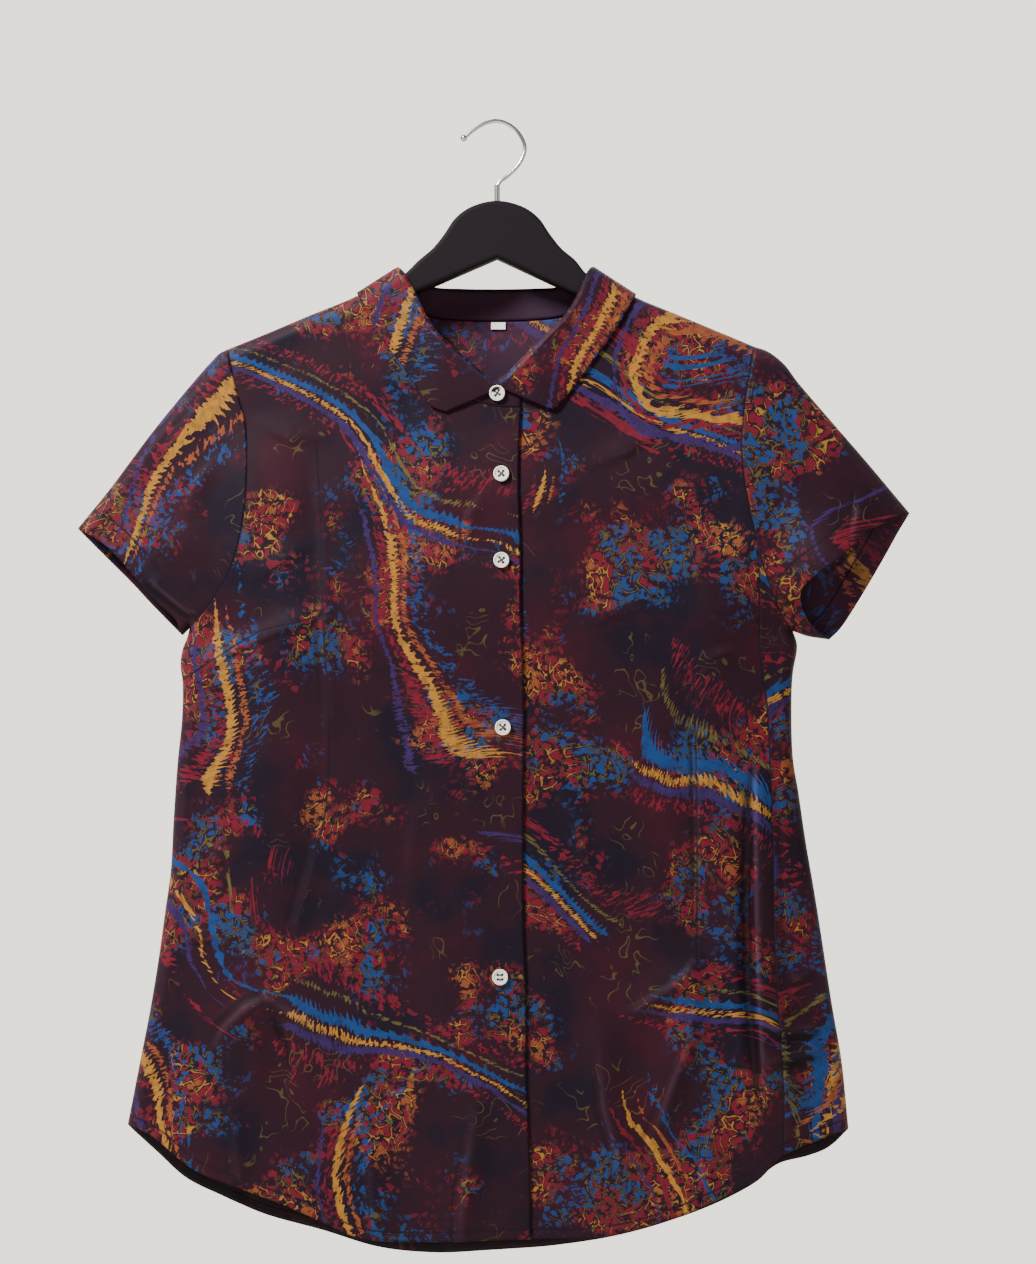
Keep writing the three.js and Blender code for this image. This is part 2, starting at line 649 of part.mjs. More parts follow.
// The fall: over the roll line, then out over the stand and the panels to its edge
function fall() {
  const surface = new Surface();
  const outward = [0.12, 0.3, 0.5, 0.75, 1];
  const rollAngles = [90, 50, 10].map((degrees) => THREE.MathUtils.degToRad(degrees));
  const none = () => 0;
  const quarters = [
    { side: 'front', roll: rollFrontRight, edge: fallFrontRight, moved: overStep, grown: none },
    { side: 'front', roll: rollFrontLeft, edge: fallFrontLeft, moved: none, grown: coverStep },
    { side: 'back', roll: rollBackRight, edge: fallBackRight, moved: none, grown: none },
    { side: 'back', roll: rollBackLeft, edge: fallBackLeft, moved: none, grown: none },
  ];
  for (const { side, roll, edge, moved, grown } of quarters) {
    const stations = sampled(roll, side === 'front' ? neckShares : backNeckShares);
    const from = side === 'front' ? stations.slice(0, -1) : stations; // the stand's front ends reach further
    const to = sampled(edge, gradedShares(lengthOf(edge), from.length - 1));
    surface.grid(from.map((start, k) => {
      const end = to[k];
      const long = Math.hypot(end.x - start.x, end.z - start.z);
      const { point, normal } = layer(side, start.x, start.z, k === 0, 0);
      point.addScaledVector(normal, moved(start.x));
      const up = new THREE.Vector3((start.x - end.x) / long, 0, (start.z - end.z) / long);
      up.addScaledVector(normal, -up.dot(normal)).normalize();
      const lift = collarLift + grown(start.x);
      const rise = rollGap + wallThickness / 2 - lift;
      const rolled = rollAngles.map((angle) => ({
        point: point.clone()
          .addScaledVector(up, rise + lift * Math.sin(angle))
          .addScaledVector(normal, lift * Math.cos(angle)),
        normal: up.clone().multiplyScalar(Math.sin(angle))
          .addScaledVector(normal, Math.cos(angle)).normalize(),
      }));
      const spread = outward.map((t) => {
        const x = start.x + (end.x - start.x) * t;
        const z = start.z + (end.z - start.z) * t;
        const under = layer(side, x, z, k === 0, 0);
        const height = collarLift + (collarEdgeLift - collarLift) * t + moved(x) + grown(x);
        return { point: under.point.addScaledVector(under.normal, height), normal: under.normal };
      });
      return [...rolled, ...spread];
    }));
  }
  return surface.wall();
}

// A small tape sewn into the back neck seam, inside the back
function label() {
  const across = [-5.2, -1.7, 1.7, 5.2];
  const down = [-143.6, -146, -148.6];
  const thickness = 0.6;
  const inward = -(wallThickness / 2 + seamGap + thickness / 2 + 0.4);
  const grid = down.map((z) => across.map((x) => ({ x: x + 0.8, z })));
  return new Surface().grid(laid('back', grid, { extra: () => inward })).wall(thickness);
}

const wasm = await Module();
wasm.setup();

function solidOf(geometry) {
  const bare = geometry.clone();
  bare.deleteAttribute('normal');
  bare.deleteAttribute('uv');
  const merged = mergeVertices(bare, 1e-4);
  return new wasm.Manifold(new wasm.Mesh({
    numProp: 3,
    vertProperties: new Float32Array(merged.attributes.position.array),
    triVerts: new Uint32Array(merged.index.array),
  }));
}

function geometryOf(solid) {
  const mesh = solid.getMesh();
  const geometry = new THREE.BufferGeometry();
  geometry.setAttribute('position', new THREE.Float32BufferAttribute(mesh.vertProperties, 3));
  geometry.setIndex(Array.from(mesh.triVerts));
  return geometry;
}

// A dished disc with a rim and four holes, its axis along Y and its face towards -Y
function buttonShape() {
  const t = buttonThickness;
  const r = buttonRadius;
  const profile = table('radius height', [
    [0, 0], [r - 0.6, 0], [r, 0.6], [r - 0.3, t], [r - 1.2, t], [r - 1.9, t - 0.6], [0, t - 0.6],
  ]).map((p) => new THREE.Vector2(p.radius, p.height));
  const disc = new THREE.LatheGeometry(profile, 18);
  let solid = solidOf(disc);
  for (const [i, k] of [[1, 1], [1, -1], [-1, 1], [-1, -1]]) {
    const hole = new THREE.CylinderGeometry(buttonHoleRadius, buttonHoleRadius, t * 3, 6);
    hole.translate((i * buttonHolePitch) / 2, t / 2, (k * buttonHolePitch) / 2);
    solid = solid.subtract(solidOf(hole));
  }
  const geometry = geometryOf(solid);
  geometry.rotateX(Math.PI);
  return geometry;
}

// The hanger's outline: the shaped middle, and arms that lie just inside the shoulder folds
function hangerBody() {
  const bevel = 3;
  const underFold = (fold, reach) => sampled(fold, evenShares(8))
    .filter((p, i) => Math.abs(p.x) < reach && i % 2 === 0)
    .map((p) => {
      const { gx, gz } = fromFold(p.x, p.z);
      return { x: p.x + gx * armDrop, z: p.z + gz * armDrop };
    });
  const topRight = hangerTop.map((p) => ({ x: -p.x, z: p.z }));
  const outline = [
    ...underFold(shoulderRight.concat(standSideRight.slice(1)), 186),
    ...topRight.reverse(),
    ...hangerTop.slice(1),
    ...underFold(shoulderLeft.concat(standSideLeft.slice(1)), 178).reverse(),
  ];
  const smoothTop = new THREE.CatmullRomCurve3(
    outline.map((p) => new THREE.Vector3(p.x, 0, p.z)), false, 'centripetal',
  ).getPoints(60);
  const low = [...hangerArmLeft, hangerApex, ...hangerArmRight.slice().reverse()];
  const shape = new THREE.Shape();
  smoothTop.forEach((p, i) => (i ? shape.lineTo(p.x, p.z) : shape.moveTo(p.x, p.z)));
  low.forEach((p) => shape.lineTo(p.x, p.z));
  shape.closePath();
  const slab = new THREE.ExtrudeGeometry(shape, {
    depth: hangerThickness - 2 * bevel,
    bevelEnabled: true,
    bevelThickness: bevel,
    bevelSize: bevel,
    bevelOffset: -bevel,
    bevelSegments: 2,
    curveSegments: 1,
  });
  slab.translate(0, 0, bevel - hangerThickness / 2);
  slab.rotateX(Math.PI / 2);
  const socketRadius = shankRadius + seamGap;
  const socket = new THREE.CylinderGeometry(socketRadius, socketRadius, socketDepth * 2, 12);
  socket.rotateX(Math.PI / 2);
  socket.translate(0, 0, hangerTop[0].z);
  return geometryOf(solidOf(slab).subtract(solidOf(socket)));
}

// The bent wire, a thicker shank that stands in the hanger, and a ball on the tip
function hangerHook() {
  const bottom = hangerTop[0].z - socketDepth + seamGap;
  const places = hookLine.map((p) => new THREE.Vector3(p.x, 0, p.z));
  const route = new THREE.CatmullRomCurve3(places, false, 'centripetal');
  const section = new THREE.Shape();
  section.absarc(0, 0, wireRadius, 0, Math.PI * 2, false);
  const wire = new THREE.ExtrudeGeometry(section, { extrudePath: route, steps: 34, curveSegments: 4 });
  const ball = new THREE.SphereGeometry(ballRadius, 10, 6);
  ball.translate(hookLine[0].x, 0, hookLine[0].z);
  const end = hookLine[hookLine.length - 1];
  const top = end.z + 1.5;
  const shank = new THREE.CylinderGeometry(shankRadius, shankRadius, top - bottom, 12);
  shank.rotateX(Math.PI / 2);
  shank.translate(0, 0, (top + bottom) / 2);
  return geometryOf(solidOf(wire).add(solidOf(ball)).add(solidOf(shank)));
}

const shirt = new THREE.Group();

function place(name, geometry, material) {
  const mesh = new THREE.Mesh(geometry, material);
  mesh.name = name;
  shirt.add(mesh);
  return mesh;
}

place('front_right', frontRight(), shirtCloth);
place('front_left', frontLeft(), shirtCloth);
place('back', back(), shirtCloth);
place('sleeve_right', sleeveRight(), shirtCloth);
place('sleeve_left', sleeveLeft(), shirtCloth);
place('collar_stand', stand(), shirtCloth);
place('collar_fall', fall(), shirtCloth);
place('neck_label', label(), labelCloth);
place('hanger_body', hangerBody(), hangerPlastic);
place('hanger_hook', hangerHook(), hookChrome);

const button = buttonShape();
buttons.forEach((spot, i) => {
  const { point, normal } = layer('front', spot.x, spot.z);
  const mesh = place(`button_${i + 1}`, button.clone(), buttonResin);
  const off = overStep(spot.x) + wallThickness / 2 + seamGap;
  point.addScaledVector(normal, off);
  mesh.position.set(...asSeen(point.x, point.y, point.z));
  mesh.quaternion.setFromUnitVectors(new THREE.Vector3(0, -1, 0), normal);
});

export default shirt;
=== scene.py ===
# A short-sleeved printed shirt on a black hanger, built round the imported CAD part
# Tables are in millimetres, as in the CAD: x to the viewer's right, y away from the viewer, z up
# Wearer's right is the viewer's left
import math

import bmesh
import bpy
import numpy as np
from mathutils import Matrix, Vector


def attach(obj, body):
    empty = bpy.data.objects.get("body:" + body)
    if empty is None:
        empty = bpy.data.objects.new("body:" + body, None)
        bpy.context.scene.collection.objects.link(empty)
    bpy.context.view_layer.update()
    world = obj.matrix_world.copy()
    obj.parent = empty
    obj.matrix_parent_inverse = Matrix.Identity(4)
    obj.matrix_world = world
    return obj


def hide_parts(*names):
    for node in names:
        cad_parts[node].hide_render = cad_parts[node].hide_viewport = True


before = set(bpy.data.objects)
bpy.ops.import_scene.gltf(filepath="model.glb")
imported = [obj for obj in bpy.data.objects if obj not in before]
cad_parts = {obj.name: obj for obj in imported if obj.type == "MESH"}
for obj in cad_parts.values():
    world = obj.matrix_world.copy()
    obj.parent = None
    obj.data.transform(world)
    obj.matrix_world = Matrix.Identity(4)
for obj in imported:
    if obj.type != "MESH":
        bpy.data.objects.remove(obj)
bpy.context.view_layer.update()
scene = bpy.context.scene
mm = 0.001

# Camera, level and square to the shirt
shot = {"x": 15, "z": -366.5, "distance": 1250, "height": 910}
cameraData = bpy.data.cameras.new("camera")
cameraData.lens = cameraData.sensor_width * shot["distance"] / shot["height"]
camera = bpy.data.objects.new("camera", cameraData)
camera.location = (shot["x"] * mm, -shot["distance"] * mm, shot["z"] * mm)
camera.rotation_euler = (math.radians(90), 0, 0)
scene.collection.objects.link(camera)
scene.camera = camera


def asSeen(p):
    # The tables were measured on the plane y = 0, so each place is scaled about the view's middle by its
    # own distance from the camera over the plane's
    scale = 1 + p[..., 1:2] / shot["distance"]
    middle = np.array([shot["x"], 0, shot["z"]])
    return middle + (p - middle) * (scale * (1, 0, 1) + (0, 1, 0))


# Outlines as x, z
shoulderRight = [(-194, -163), (-168, -152.5), (-136, -139), (-100, -124), (-80, -111.9)]
shoulderLeft = [(185, -161), (160, -150.5), (130, -138), (99, -125), (79, -112.6)]
standSideRight = [(-80, -111.9), (-75, -108.9), (-70, -105.8)]
standSideLeft = [(79, -112.6), (73, -108.9), (67.5, -105.5)]
sleeveTopRight = [
    (-194, -163), (-200, -166), (-204, -170), (-214, -181), (-247, -221), (-280, -265), (-302, -292),
]
sleeveTopLeft = [
    (185, -161), (195, -164.5), (207, -174), (216, -186), (240, -214), (266, -244), (297, -281),
]
armholeFrontRight = [
    (-194, -163), (-188, -190), (-181, -216), (-180, -242), (-181, -269), (-184, -291), (-190, -315),
    (-201, -337), (-214, -355), (-221.5, -364),
]
armholeBackRight = [
    (-194, -163), (-191, -190), (-187, -216), (-186, -242), (-187, -269), (-190, -291), (-196, -315),
    (-205, -337), (-215, -355), (-221.5, -364),
]
armholeFrontLeft = [
    (185, -161), (181, -184), (178, -205), (176, -230), (177.5, -250), (180, -268), (185, -291), (188, -304),
]
armholeUnderLeft = [(188, -304), (192, -319), (200, -342), (206, -356), (213, -366)]
armholeBackLeft = [
    (185, -161), (183, -190), (180, -216), (180, -242), (182, -269), (186, -291), (192, -315),
    (200, -340), (207, -356), (213, -366),
]
sideRight = [
    (-221.5, -364), (-223, -370), (-226.5, -379), (-228, -390), (-226.5, -403), (-227, -430), (-230, -459),
    (-233, -502), (-235, -538), (-239, -567), (-244, -603), (-250, -639), (-257, -675), (-266, -721),
]
sideLeft = [
    (213, -366), (216, -376), (213, -396), (212, -415), (213, -457), (217, -482), (222, -516),
    (228, -551), (233, -582), (241, -634), (248, -675), (253, -724),
]
seamLeft = [
    (188, -304), (189, -329), (189, -356), (190, -386), (194, -415), (197, -466), (199, -530),
    (199.5, -588), (202, -631), (205, -674), (206.5, -711), (206, -743.5),
]
hemFrontRight = [
    (-266, -721), (-248, -730), (-220, -753), (-189, -766), (-154, -779), (-127, -791), (-99, -803),
    (-63, -806), (-27, -805.5), (24, -804),
]
hemFrontLeft = [
    (206, -743.5), (198, -750.5), (188, -761), (162, -774), (135, -786), (98, -798), (67, -803),
    (24, -803.5), (-13, -803.5),
]
hemWrapLeft = [(206, -743.5), (216, -738.5), (235, -731), (253, -724)]
hemBackRight = [
    (-266, -721), (-244, -741), (-224, -759), (-198, -772), (-168, -785), (-125, -797), (-85, -809),
    (-45, -813), (0, -811),
]
hemBackLeft = [
    (253, -724), (238, -737.5), (223, -743.5), (205, -748), (197, -752.5), (188, -761),
    (162, -775.5), (125, -790), (85, -801), (40, -808), (0, -811),
]
neckFrontRight = [(-80, -111.9), (-76, -134), (-62, -160), (-40, -184), (-16, -200), (0, -204.5), (17, -205)]
neckFrontLeft = [(79, -112.6), (75, -134), (61, -160), (40, -184), (17, -199), (0, -204), (-13, -205)]
neckBackRight = [(-80, -111.9), (-72, -127), (-49, -139.5), (-25, -142.6), (0, -143)]
neckBackLeft = [(79, -112.6), (72, -127), (49, -139), (25, -142.4), (0, -143)]
edgeTop = [
    (17, -205), (15.5, -253), (17, -308), (17, -351), (19, -395), (19, -516), (19, -574), (21, -631),
    (21, -684), (24, -759), (24, -804),
]
edgeUnder = [(-13, -205), (-13, -400), (-12, -600), (-13, -803.5)]
centreBack = [(0, -143), (0, -400), (0, -811)]
cuffFrontRight = [
    (-302, -292), (-283, -303.5), (-268, -319), (-254, -336), (-243, -347), (-233, -356), (-229, -363),
    (-226.5, -369),
]
cuffBackRight = [(-302, -292), (-279, -315), (-262, -332), (-250, -345), (-226.5, -369)]
cuffFrontLeft = [
    (297, -281), (271, -292), (248, -312), (229, -326), (219, -336), (219, -347), (226, -361), (239, -372),
]
cuffBackLeft = [(297, -281), (289, -294), (279, -312), (262, -341), (247, -364), (239, -372)]
underarmRight = [(-221.5, -364), (-224, -366.5), (-226.5, -369)]
underarmLeft = [(213, -366), (223, -369.5), (239, -372)]
rollFrontRight = [
    (-70, -105.8), (-65, -113), (-60, -122), (-54, -135), (-44, -151), (-25, -168), (-5, -184), (17, -190),
]
rollFrontLeft = [
    (67.5, -105.5), (63, -113), (58, -125), (50, -138), (37, -151), (24, -164), (3, -184), (-13, -190),
]
rollBackRight = [(-70, -105.8), (-63, -112.5), (-47, -119), (-25, -120.6), (0, -121)]
rollBackLeft = [(67.5, -105.5), (62, -112), (47, -118.6), (25, -120.4), (0, -121)]
fallFrontRight = [
    (-100, -124), (-86, -151), (-72, -170), (-59, -189), (-49, -202.6), (-48, -204), (-46.4, -204.8),
    (-38.6, -207.6), (-37, -208),
]
fallFrontLeft = [(99, -125), (84, -151), (68, -173), (51, -195), (42, -205), (39, -206)]
fallBackRight = [(-100, -124), (-95, -143), (-78, -160), (-45, -168), (0, -170)]
fallBackLeft = [(99, -125), (95, -143), (78, -160), (45, -168), (0, -170)]


def curve(points, shares):
    # Centripetal Catmull-Rom line through the points, at shares of its length
    p = np.array(points, float)
    p = np.vstack([2 * p[0] - p[1], p, 2 * p[-1] - p[-2]])
    t = np.linspace(0, 1, 41)[:, None]
    line = []
    for p0, p1, p2, p3 in zip(p, p[1:], p[2:], p[3:]):
        d0, d1, d2 = [math.sqrt(np.linalg.norm(b - a)) for a, b in ((p0, p1), (p1, p2), (p2, p3))]
        m1 = ((p1 - p0) / d0 - (p2 - p0) / (d0 + d1) + (p2 - p1) / d1) * d1
        m2 = ((p2 - p1) / d1 - (p3 - p1) / (d1 + d2) + (p3 - p2) / d2) * d1
        start = (2 * t**3 - 3 * t**2 + 1) * p1 + (t**3 - 2 * t**2 + t) * m1
        line.append(start + (3 * t**2 - 2 * t**3) * p2 + (t**3 - t**2) * m2)
    line = np.vstack([part[:-1] for part in line] + [line[-1][-1:]])
    runs = np.r_[0, np.cumsum(np.linalg.norm(np.diff(line, axis=0), axis=1))]
    at = np.asarray(shares) * runs[-1]
    return np.stack([np.interp(at, runs, line[:, k]) for k in (0, 1)], axis=1)


def evenly(count):
    return np.linspace(0, 1, count + 1)


closeSteps = {"first": 0.16, "growth": 0.1}


def closeAt(count, start=True, end=False):
    # Shares whose steps grow from short ones at a folded end to even ones further in
    steps = np.ones(count)
    grown = np.minimum(1, closeSteps["first"] + closeSteps["growth"] * np.arange(count))
    if start:
        steps = np.minimum(steps, grown)
    if end:
        steps = np.minimum(steps, grown[::-1])
    return np.r_[0, np.cumsum(steps)] / steps.sum()


def shareOf(line):
    # The share of a line's length at each of its points
    runs = np.r_[0, np.cumsum(np.linalg.norm(np.diff(line, axis=0), axis=1))]
    return runs / max(runs[-1], 1e-9)


def patch(top, bottom, left, right):
    # Coons patch: each place blends the two pairs of edges and takes off their corners
    u = ((shareOf(top) + shareOf(bottom)) / 2)[None, :, None]
    v = ((shareOf(left) + shareOf(right)) / 2)[:, None, None]
    edges = (1 - v) * top[None] + v * bottom[None] + (1 - u) * left[:, None] + u * right[:, None]
    corners = (1 - u) * (1 - v) * top[0] + u * (1 - v) * top[-1]
    corners = corners + (1 - u) * v * bottom[0] + u * v * bottom[-1]
    return edges - corners


def smooth(t):
    # Rises from 0 to 1 with level ends
    s = np.clip(t, 0, 1)
    return s * s * (3 - 2 * s)


def toLine(p, line):
    # From places to a line: distance, its sign by side, length along it, and the way from it
    best = np.full(p.shape[:-1], 1e9)
    side = np.ones(p.shape[:-1])
    along = np.zeros(p.shape[:-1])
    way = np.zeros(p.shape)
    run = 0
    for a, b in zip(line, line[1:]):
        e = b - a
        long = max(e @ e, 1e-12)
        t = np.clip(((p - a) @ e) / long, 0, 1)
        off = p - a - t[..., None] * e
        d = np.linalg.norm(off, axis=-1)
        near = d < best
        best = np.where(near, d, best)
        side = np.where(near, np.sign(off[..., 0] * e[1] - off[..., 1] * e[0] + 1e-12), side)
        along = np.where(near, run + t * math.sqrt(long), along)
        way = np.where(near[..., None], off, way)
        run += math.sqrt(long)
    return best, side, along, way / np.maximum(best, 1e-6)[..., None]


foldLines = [
    curve(line, evenly(60))
    for line in (
        standSideRight, shoulderRight, sleeveTopRight, underarmRight, sideRight,
        standSideLeft, shoulderLeft, sleeveTopLeft, underarmLeft, sideLeft,
    )
]


def fromFold(p):
    # Distance to the nearest place where the front turns over into the back, and the way from it
    best = np.full(p.shape[:-1], 1e9)
    way = np.zeros(p.shape)
    for line in foldLines:
        d, _, _, off = toLine(p, line)
        near = d < best
        best = np.where(near, d, best)
        way = np.where(near[..., None], off, way)
    return best, way


# How the cloth stands off the garment's middle plane
form = {
    "foldRadius": 8.4,
    # the distance from the fold at which each has its full height
    "reach": {"body": 70, "neckBow": 45, "cuffBulge": 30, "broadFolds": 25, "creases": 14},
    # where the sleeves begin, over what width and height they blend in, and how full they are
    "sleeve": {"x": 175, "z": -395, "overX": 35, "overZ": 40, "fullness": 4},
    # the top front's height over the under front, where that begins and over what width
    "overlap": 2.1,
    "overlapFrom": -72,
    "overlapOver": 34,
    # how far a broad fold begins before its line, and over what length it fades in
    "foldEnds": (15, 40),
    "creaseDepth": 1.7,
    "creaseWidths": (0.7, 1.8),
    # z, front, back
    "fullness": [
        (-100, 0, 0), (-200, 2, 2), (-280, 9, 4), (-350, 13, 6), (-450, 10, 5), (-560, 7, 5), (-700, 11, 8),
        (-815, 14, 10),
    ],
    "neckBow": {"height": 14, "x": 62, "z": 70, "at": -138},
    "cuffBulge": {"height": 20, "x": 242, "z": -322, "reach": 42},
}

# Broad folds of the solid: x0, z0, x1, z1, half width, rise
broadFolds = {
    "front": [
        (187, -462, 190, -600, 16, 4), (190, -600, 197, -712, 17, 5), (-133, -235, -127, -430, 13, -1.5),
        (-125, -440, -146, -596, 13, -2), (-166, -632, -206, -668, 13, 3), (-168, -632, -120, -662, 13, 3),
        (-165, -640, -154, -700, 12, -2.5), (140, -390, 145, -600, 13, -2), (143, -606, 92, -640, 13, 3),
        (143, -610, 118, -724, 14, 3.5), (72, -640, 86, -762, 14, 3), (-16, -700, -27, -800, 13, 2.5),
        (-226, -402, -122, -353, 12, 1.5), (190, -361, 142, -348, 12, 1.5),
    ],
    "back": [
        (-60, -260, -75, -520, 18, 2.5), (70, -300, 62, -560, 17, -2.5), (-120, -560, -150, -770, 18, 4),
        (-20, -600, -30, -800, 18, -3), (90, -570, 120, -780, 18, 4), (10, -420, 40, -640, 16, 2),
    ],
}

# Creases: the half width towards the viewer's left and right, then x, z, rise along the line
creases = {
    "front": [
        # the sharp fold down the viewer's right, and smaller ones beside it
        (3, 9, [
            (187, -452, 0), (185.5, -490, 2.8), (185.5, -560, 4.4), (187, -620, 4.4), (190, -675, 3.2),
            (193, -716, 0),
        ]),
        (9, 3, [
            (180, -455, 0), (179, -500, -2.0), (179, -560, -3.2), (180, -620, -3.4), (184, -675, -2.4),
            (188, -712, 0),
        ]),
        (5, 6, [(206, -430, 0), (207, -500, 0.9), (210, -570, 1.1), (214, -640, 0)]),
        (4, 4, [(189, -649, 0), (206, -653, 2.2), (224, -652, 2.0), (238, -647, 0)]),
        (4, 4, [(192, -679, 0), (208, -672, 2.2), (226, -668, 2.0), (240, -667, 0)]),
        (3.5, 4, [(196, -690, 0), (214, -690, 1.8), (234, -694, 0)]),
        (3.5, 4, [(204, -612, 0), (216, -616, 1.6), (232, -606, 0)]),
        # from the bust to the hem on the viewer's right
        (4, 7, [(142, -400, 0), (144, -460, 0.9), (145, -530, 1.3), (144.5, -600, 0)]),
        (4, 5, [(144, -598, 0), (137, -613, 1.5), (123, -624, 1.7), (100, -637, 1.2), (86, -643, 0)]),
        (6, 4, [(142, -628, 0), (137, -667, 1.7), (125, -695, 2.0), (117, -717, 1.6), (107, -742, 0)]),
        (5, 8, [(72, -652, 0), (76, -708, 1.8), (86, -742, 1.4), (92, -775, 0.4)]),
        (6, 6, [(160, -700, 0), (152, -735, 1.5), (148, -768, 1.2)]),
        (5, 5, [(58, -362, 0), (84, -352, 1.2), (114, -347, 0)]),
        (4, 5, [(186, -372, 0), (160, -380, 0.9), (138, -391, 0)]),
        (5, 5, [(60, -250, 0), (92, -236, 0.9), (130, -214, 0)]),
        (6, 6, [(176, -300, 0), (150, -312, 1.0), (120, -316, 0)]),
        (6, 5, [(46, -470, 0), (60, -520, 0.9), (66, -575, 0)]),
        (5, 7, [(104, -520, 0), (112, -560, 0.8), (112, -600, 0)]),
        # from the bust to the hem on the viewer's left
        (6, 4, [(-129, -238, 0), (-126, -300, 0.8), (-124, -372, 1.1), (-121, -420, 0.9), (-124, -480, 0)]),
        (6, 4, [(-123, -495, 0), (-134, -535, 1.2), (-145, -575, 1.4), (-147, -600, 0)]),
        (3.5, 5, [(-113, -584, 0), (-109, -604, 1.3), (-106, -626, 0)]),
        (4, 4, [(-166, -630, 0.6), (-184, -638, 1.7), (-198, -651, 1.6), (-210, -674, 0)]),
        (4, 4, [(-166, -630, 0.6), (-146, -643, 1.6), (-128, -652, 1.3), (-114, -661, 0)]),
        (4, 4, [(-163, -640, 0), (-158, -652, -1.6), (-153, -664, -1.0), (-148, -690, 0)]),
        (6, 5, [(-196, -690, 0), (-190, -722, 1.4), (-187, -756, 1.2)]),
        (6, 7, [(-100, -700, 0), (-92, -745, 1.5), (-90, -795, 1.2)]),
        (4, 5, [(-15, -700, 0), (-21, -740, 1.6), (-26, -776, 1.9), (-27, -802, 1.4)]),
        (4, 5, [(-226, -401, 0), (-190, -379, 1.1), (-150, -362, 1.3), (-120, -353, 0)]),
        (4, 4, [(-219, -397, 0), (-204, -403, 0.9), (-188, -405, 0)]),
        (5, 5, [(-180, -330, 0), (-158, -318, 0.9), (-130, -300, 0)]),
        (5, 6, [(-176, -215, 0), (-150, -226, 0.8), (-118, -228, 0)]),
        (7, 6, [(-60, -300, 0), (-66, -350, 0.9), (-62, -400, 0)]),
        (6, 7, [(-50, -470, 0), (-62, -520, 0.9), (-64, -580, 0)]),
        (5, 5, [(-225, -520, 0), (-205, -528, 1.0), (-180, -526, 0)]),
        (5, 5, [(-232, -590, 0), (-212, -584, 1.0), (-186, -592, 0)]),
        # between the buttons
        (4, 4, [(-6, -262, 0), (-20, -282, 0.8), (-26, -304, 0)]),
        (4, 4, [(-4, -445, 0), (-18, -470, 0.8), (-22, -500, 0)]),
        (4, 4, [(24, -622, 0), (38, -645, 0.9), (44, -672, 0)]),
        # sleeves
        (4, 5, [(-257, -323, 0), (-246, -333, 1.3), (-222, -352, 1.0), (-210, -356, 0)]),
        (5, 5, [(-196, -235, 0), (-214, -256, 0.9), (-226, -286, 0)]),
        (5, 6, [(-204, -188, 0), (-222, -214, 0.9), (-246, -244, 0)]),
        (5, 5, [(190, -228, 0), (206, -252, 1.0), (214, -284, 0)]),
        (4, 5, [(262, -262, 0), (259, -280, 1.5), (256, -298, 0.6)]),
        (5, 5, [(196, -190, 0), (216, -210, 0.8), (238, -240, 0)]),
    ],
    "back": [
        (6, 8, [(-58, -250, 0), (-66, -340, 1.0), (-72, -430, 1.3), (-78, -530, 0)]),
        (8, 6, [(72, -280, 0), (70, -380, 1.0), (64, -470, 1.2), (60, -560, 0)]),
        (6, 7, [(-118, -550, 0), (-132, -640, 1.8), (-148, -770, 1.6)]),
        (7, 5, [(92, -560, 0), (104, -660, 1.7), (118, -782, 1.5)]),
        (5, 6, [(-22, -600, 0), (-28, -700, -1.5), (-34, -806, -1.0)]),
        (6, 6, [(12, -420, 0), (26, -520, 1.3), (42, -640, 0)]),
        (5, 5, [(-172, -260, 0), (-140, -268, 1.1), (-100, -262, 0)]),
        (5, 5, [(170, -300, 0), (136, -322, 1.1), (96, -326, 0)]),
        (4, 5, [(-210, -440, 0), (-176, -452, 1.2), (-140, -446, 0)]),
        (5, 4, [(200, -470, 0), (166, -486, 1.2), (128, -484, 0)]),
        (5, 5, [(-212, -600, 0), (-180, -620, 1.3), (-150, -650, 0)]),
        (5, 5, [(214, -610, 0), (182, -640, 1.3), (150, -664, 0)]),
        (6, 6, [(-190, -680, 0), (-184, -740, 1.6), (-180, -776, 1.3)]),
        (6, 6, [(40, -700, 0), (48, -750, 1.5), (50, -804, 1.2)]),
        (6, 5, [(180, -700, 0), (186, -740, 1.4), (186, -764, 1.1)]),
        (5, 5, [(-206, -200, 0), (-228, -236, 1.0), (-250, -262, 0)]),
        (5, 5, [(200, -206, 0), (224, -240, 1.0), (250, -282, 0)]),
        (4, 4, [(-262, -310, 0), (-244, -330, 1.2), (-226, -345, 0)]),
        (4, 4, [(270, -300, 0), (252, -318, 1.2), (232, -334, 0)]),
        (5, 6, [(-30, -180, 0), (0, -188, 0.9), (34, -182, 0)]),
    ],
}


def creaseRise(side, p):
    # Each crease adds rise * exp(-(distance / half width)^2), strongest where its line is nearest
    total = np.zeros(p.shape[:-1])
    byLeft, byRight = form["creaseWidths"]
    for wideLeft, wideRight, line in creases[side]:
        places = np.array(line, float)
        best = np.zeros(p.shape[:-1])
        for a, b in zip(places, places[1:]):
            e = b[:2] - a[:2]
            t = np.clip(((p - a[:2]) @ e) / (e @ e), 0, 1)
            off = p - a[:2] - t[..., None] * e
            # a line that runs down has its left where the cross product is positive
            left = (off[..., 0] * e[1] - off[..., 1] * e[0]) > 0
            width = np.where(left, wideLeft * byLeft, wideRight * byRight)
            value = (a[2] + (b[2] - a[2]) * t) * np.exp(-(off**2).sum(-1) / width**2)
            best = np.where(np.abs(value) > np.abs(best), value, best)
        total += best
    return total * form["creaseDepth"]


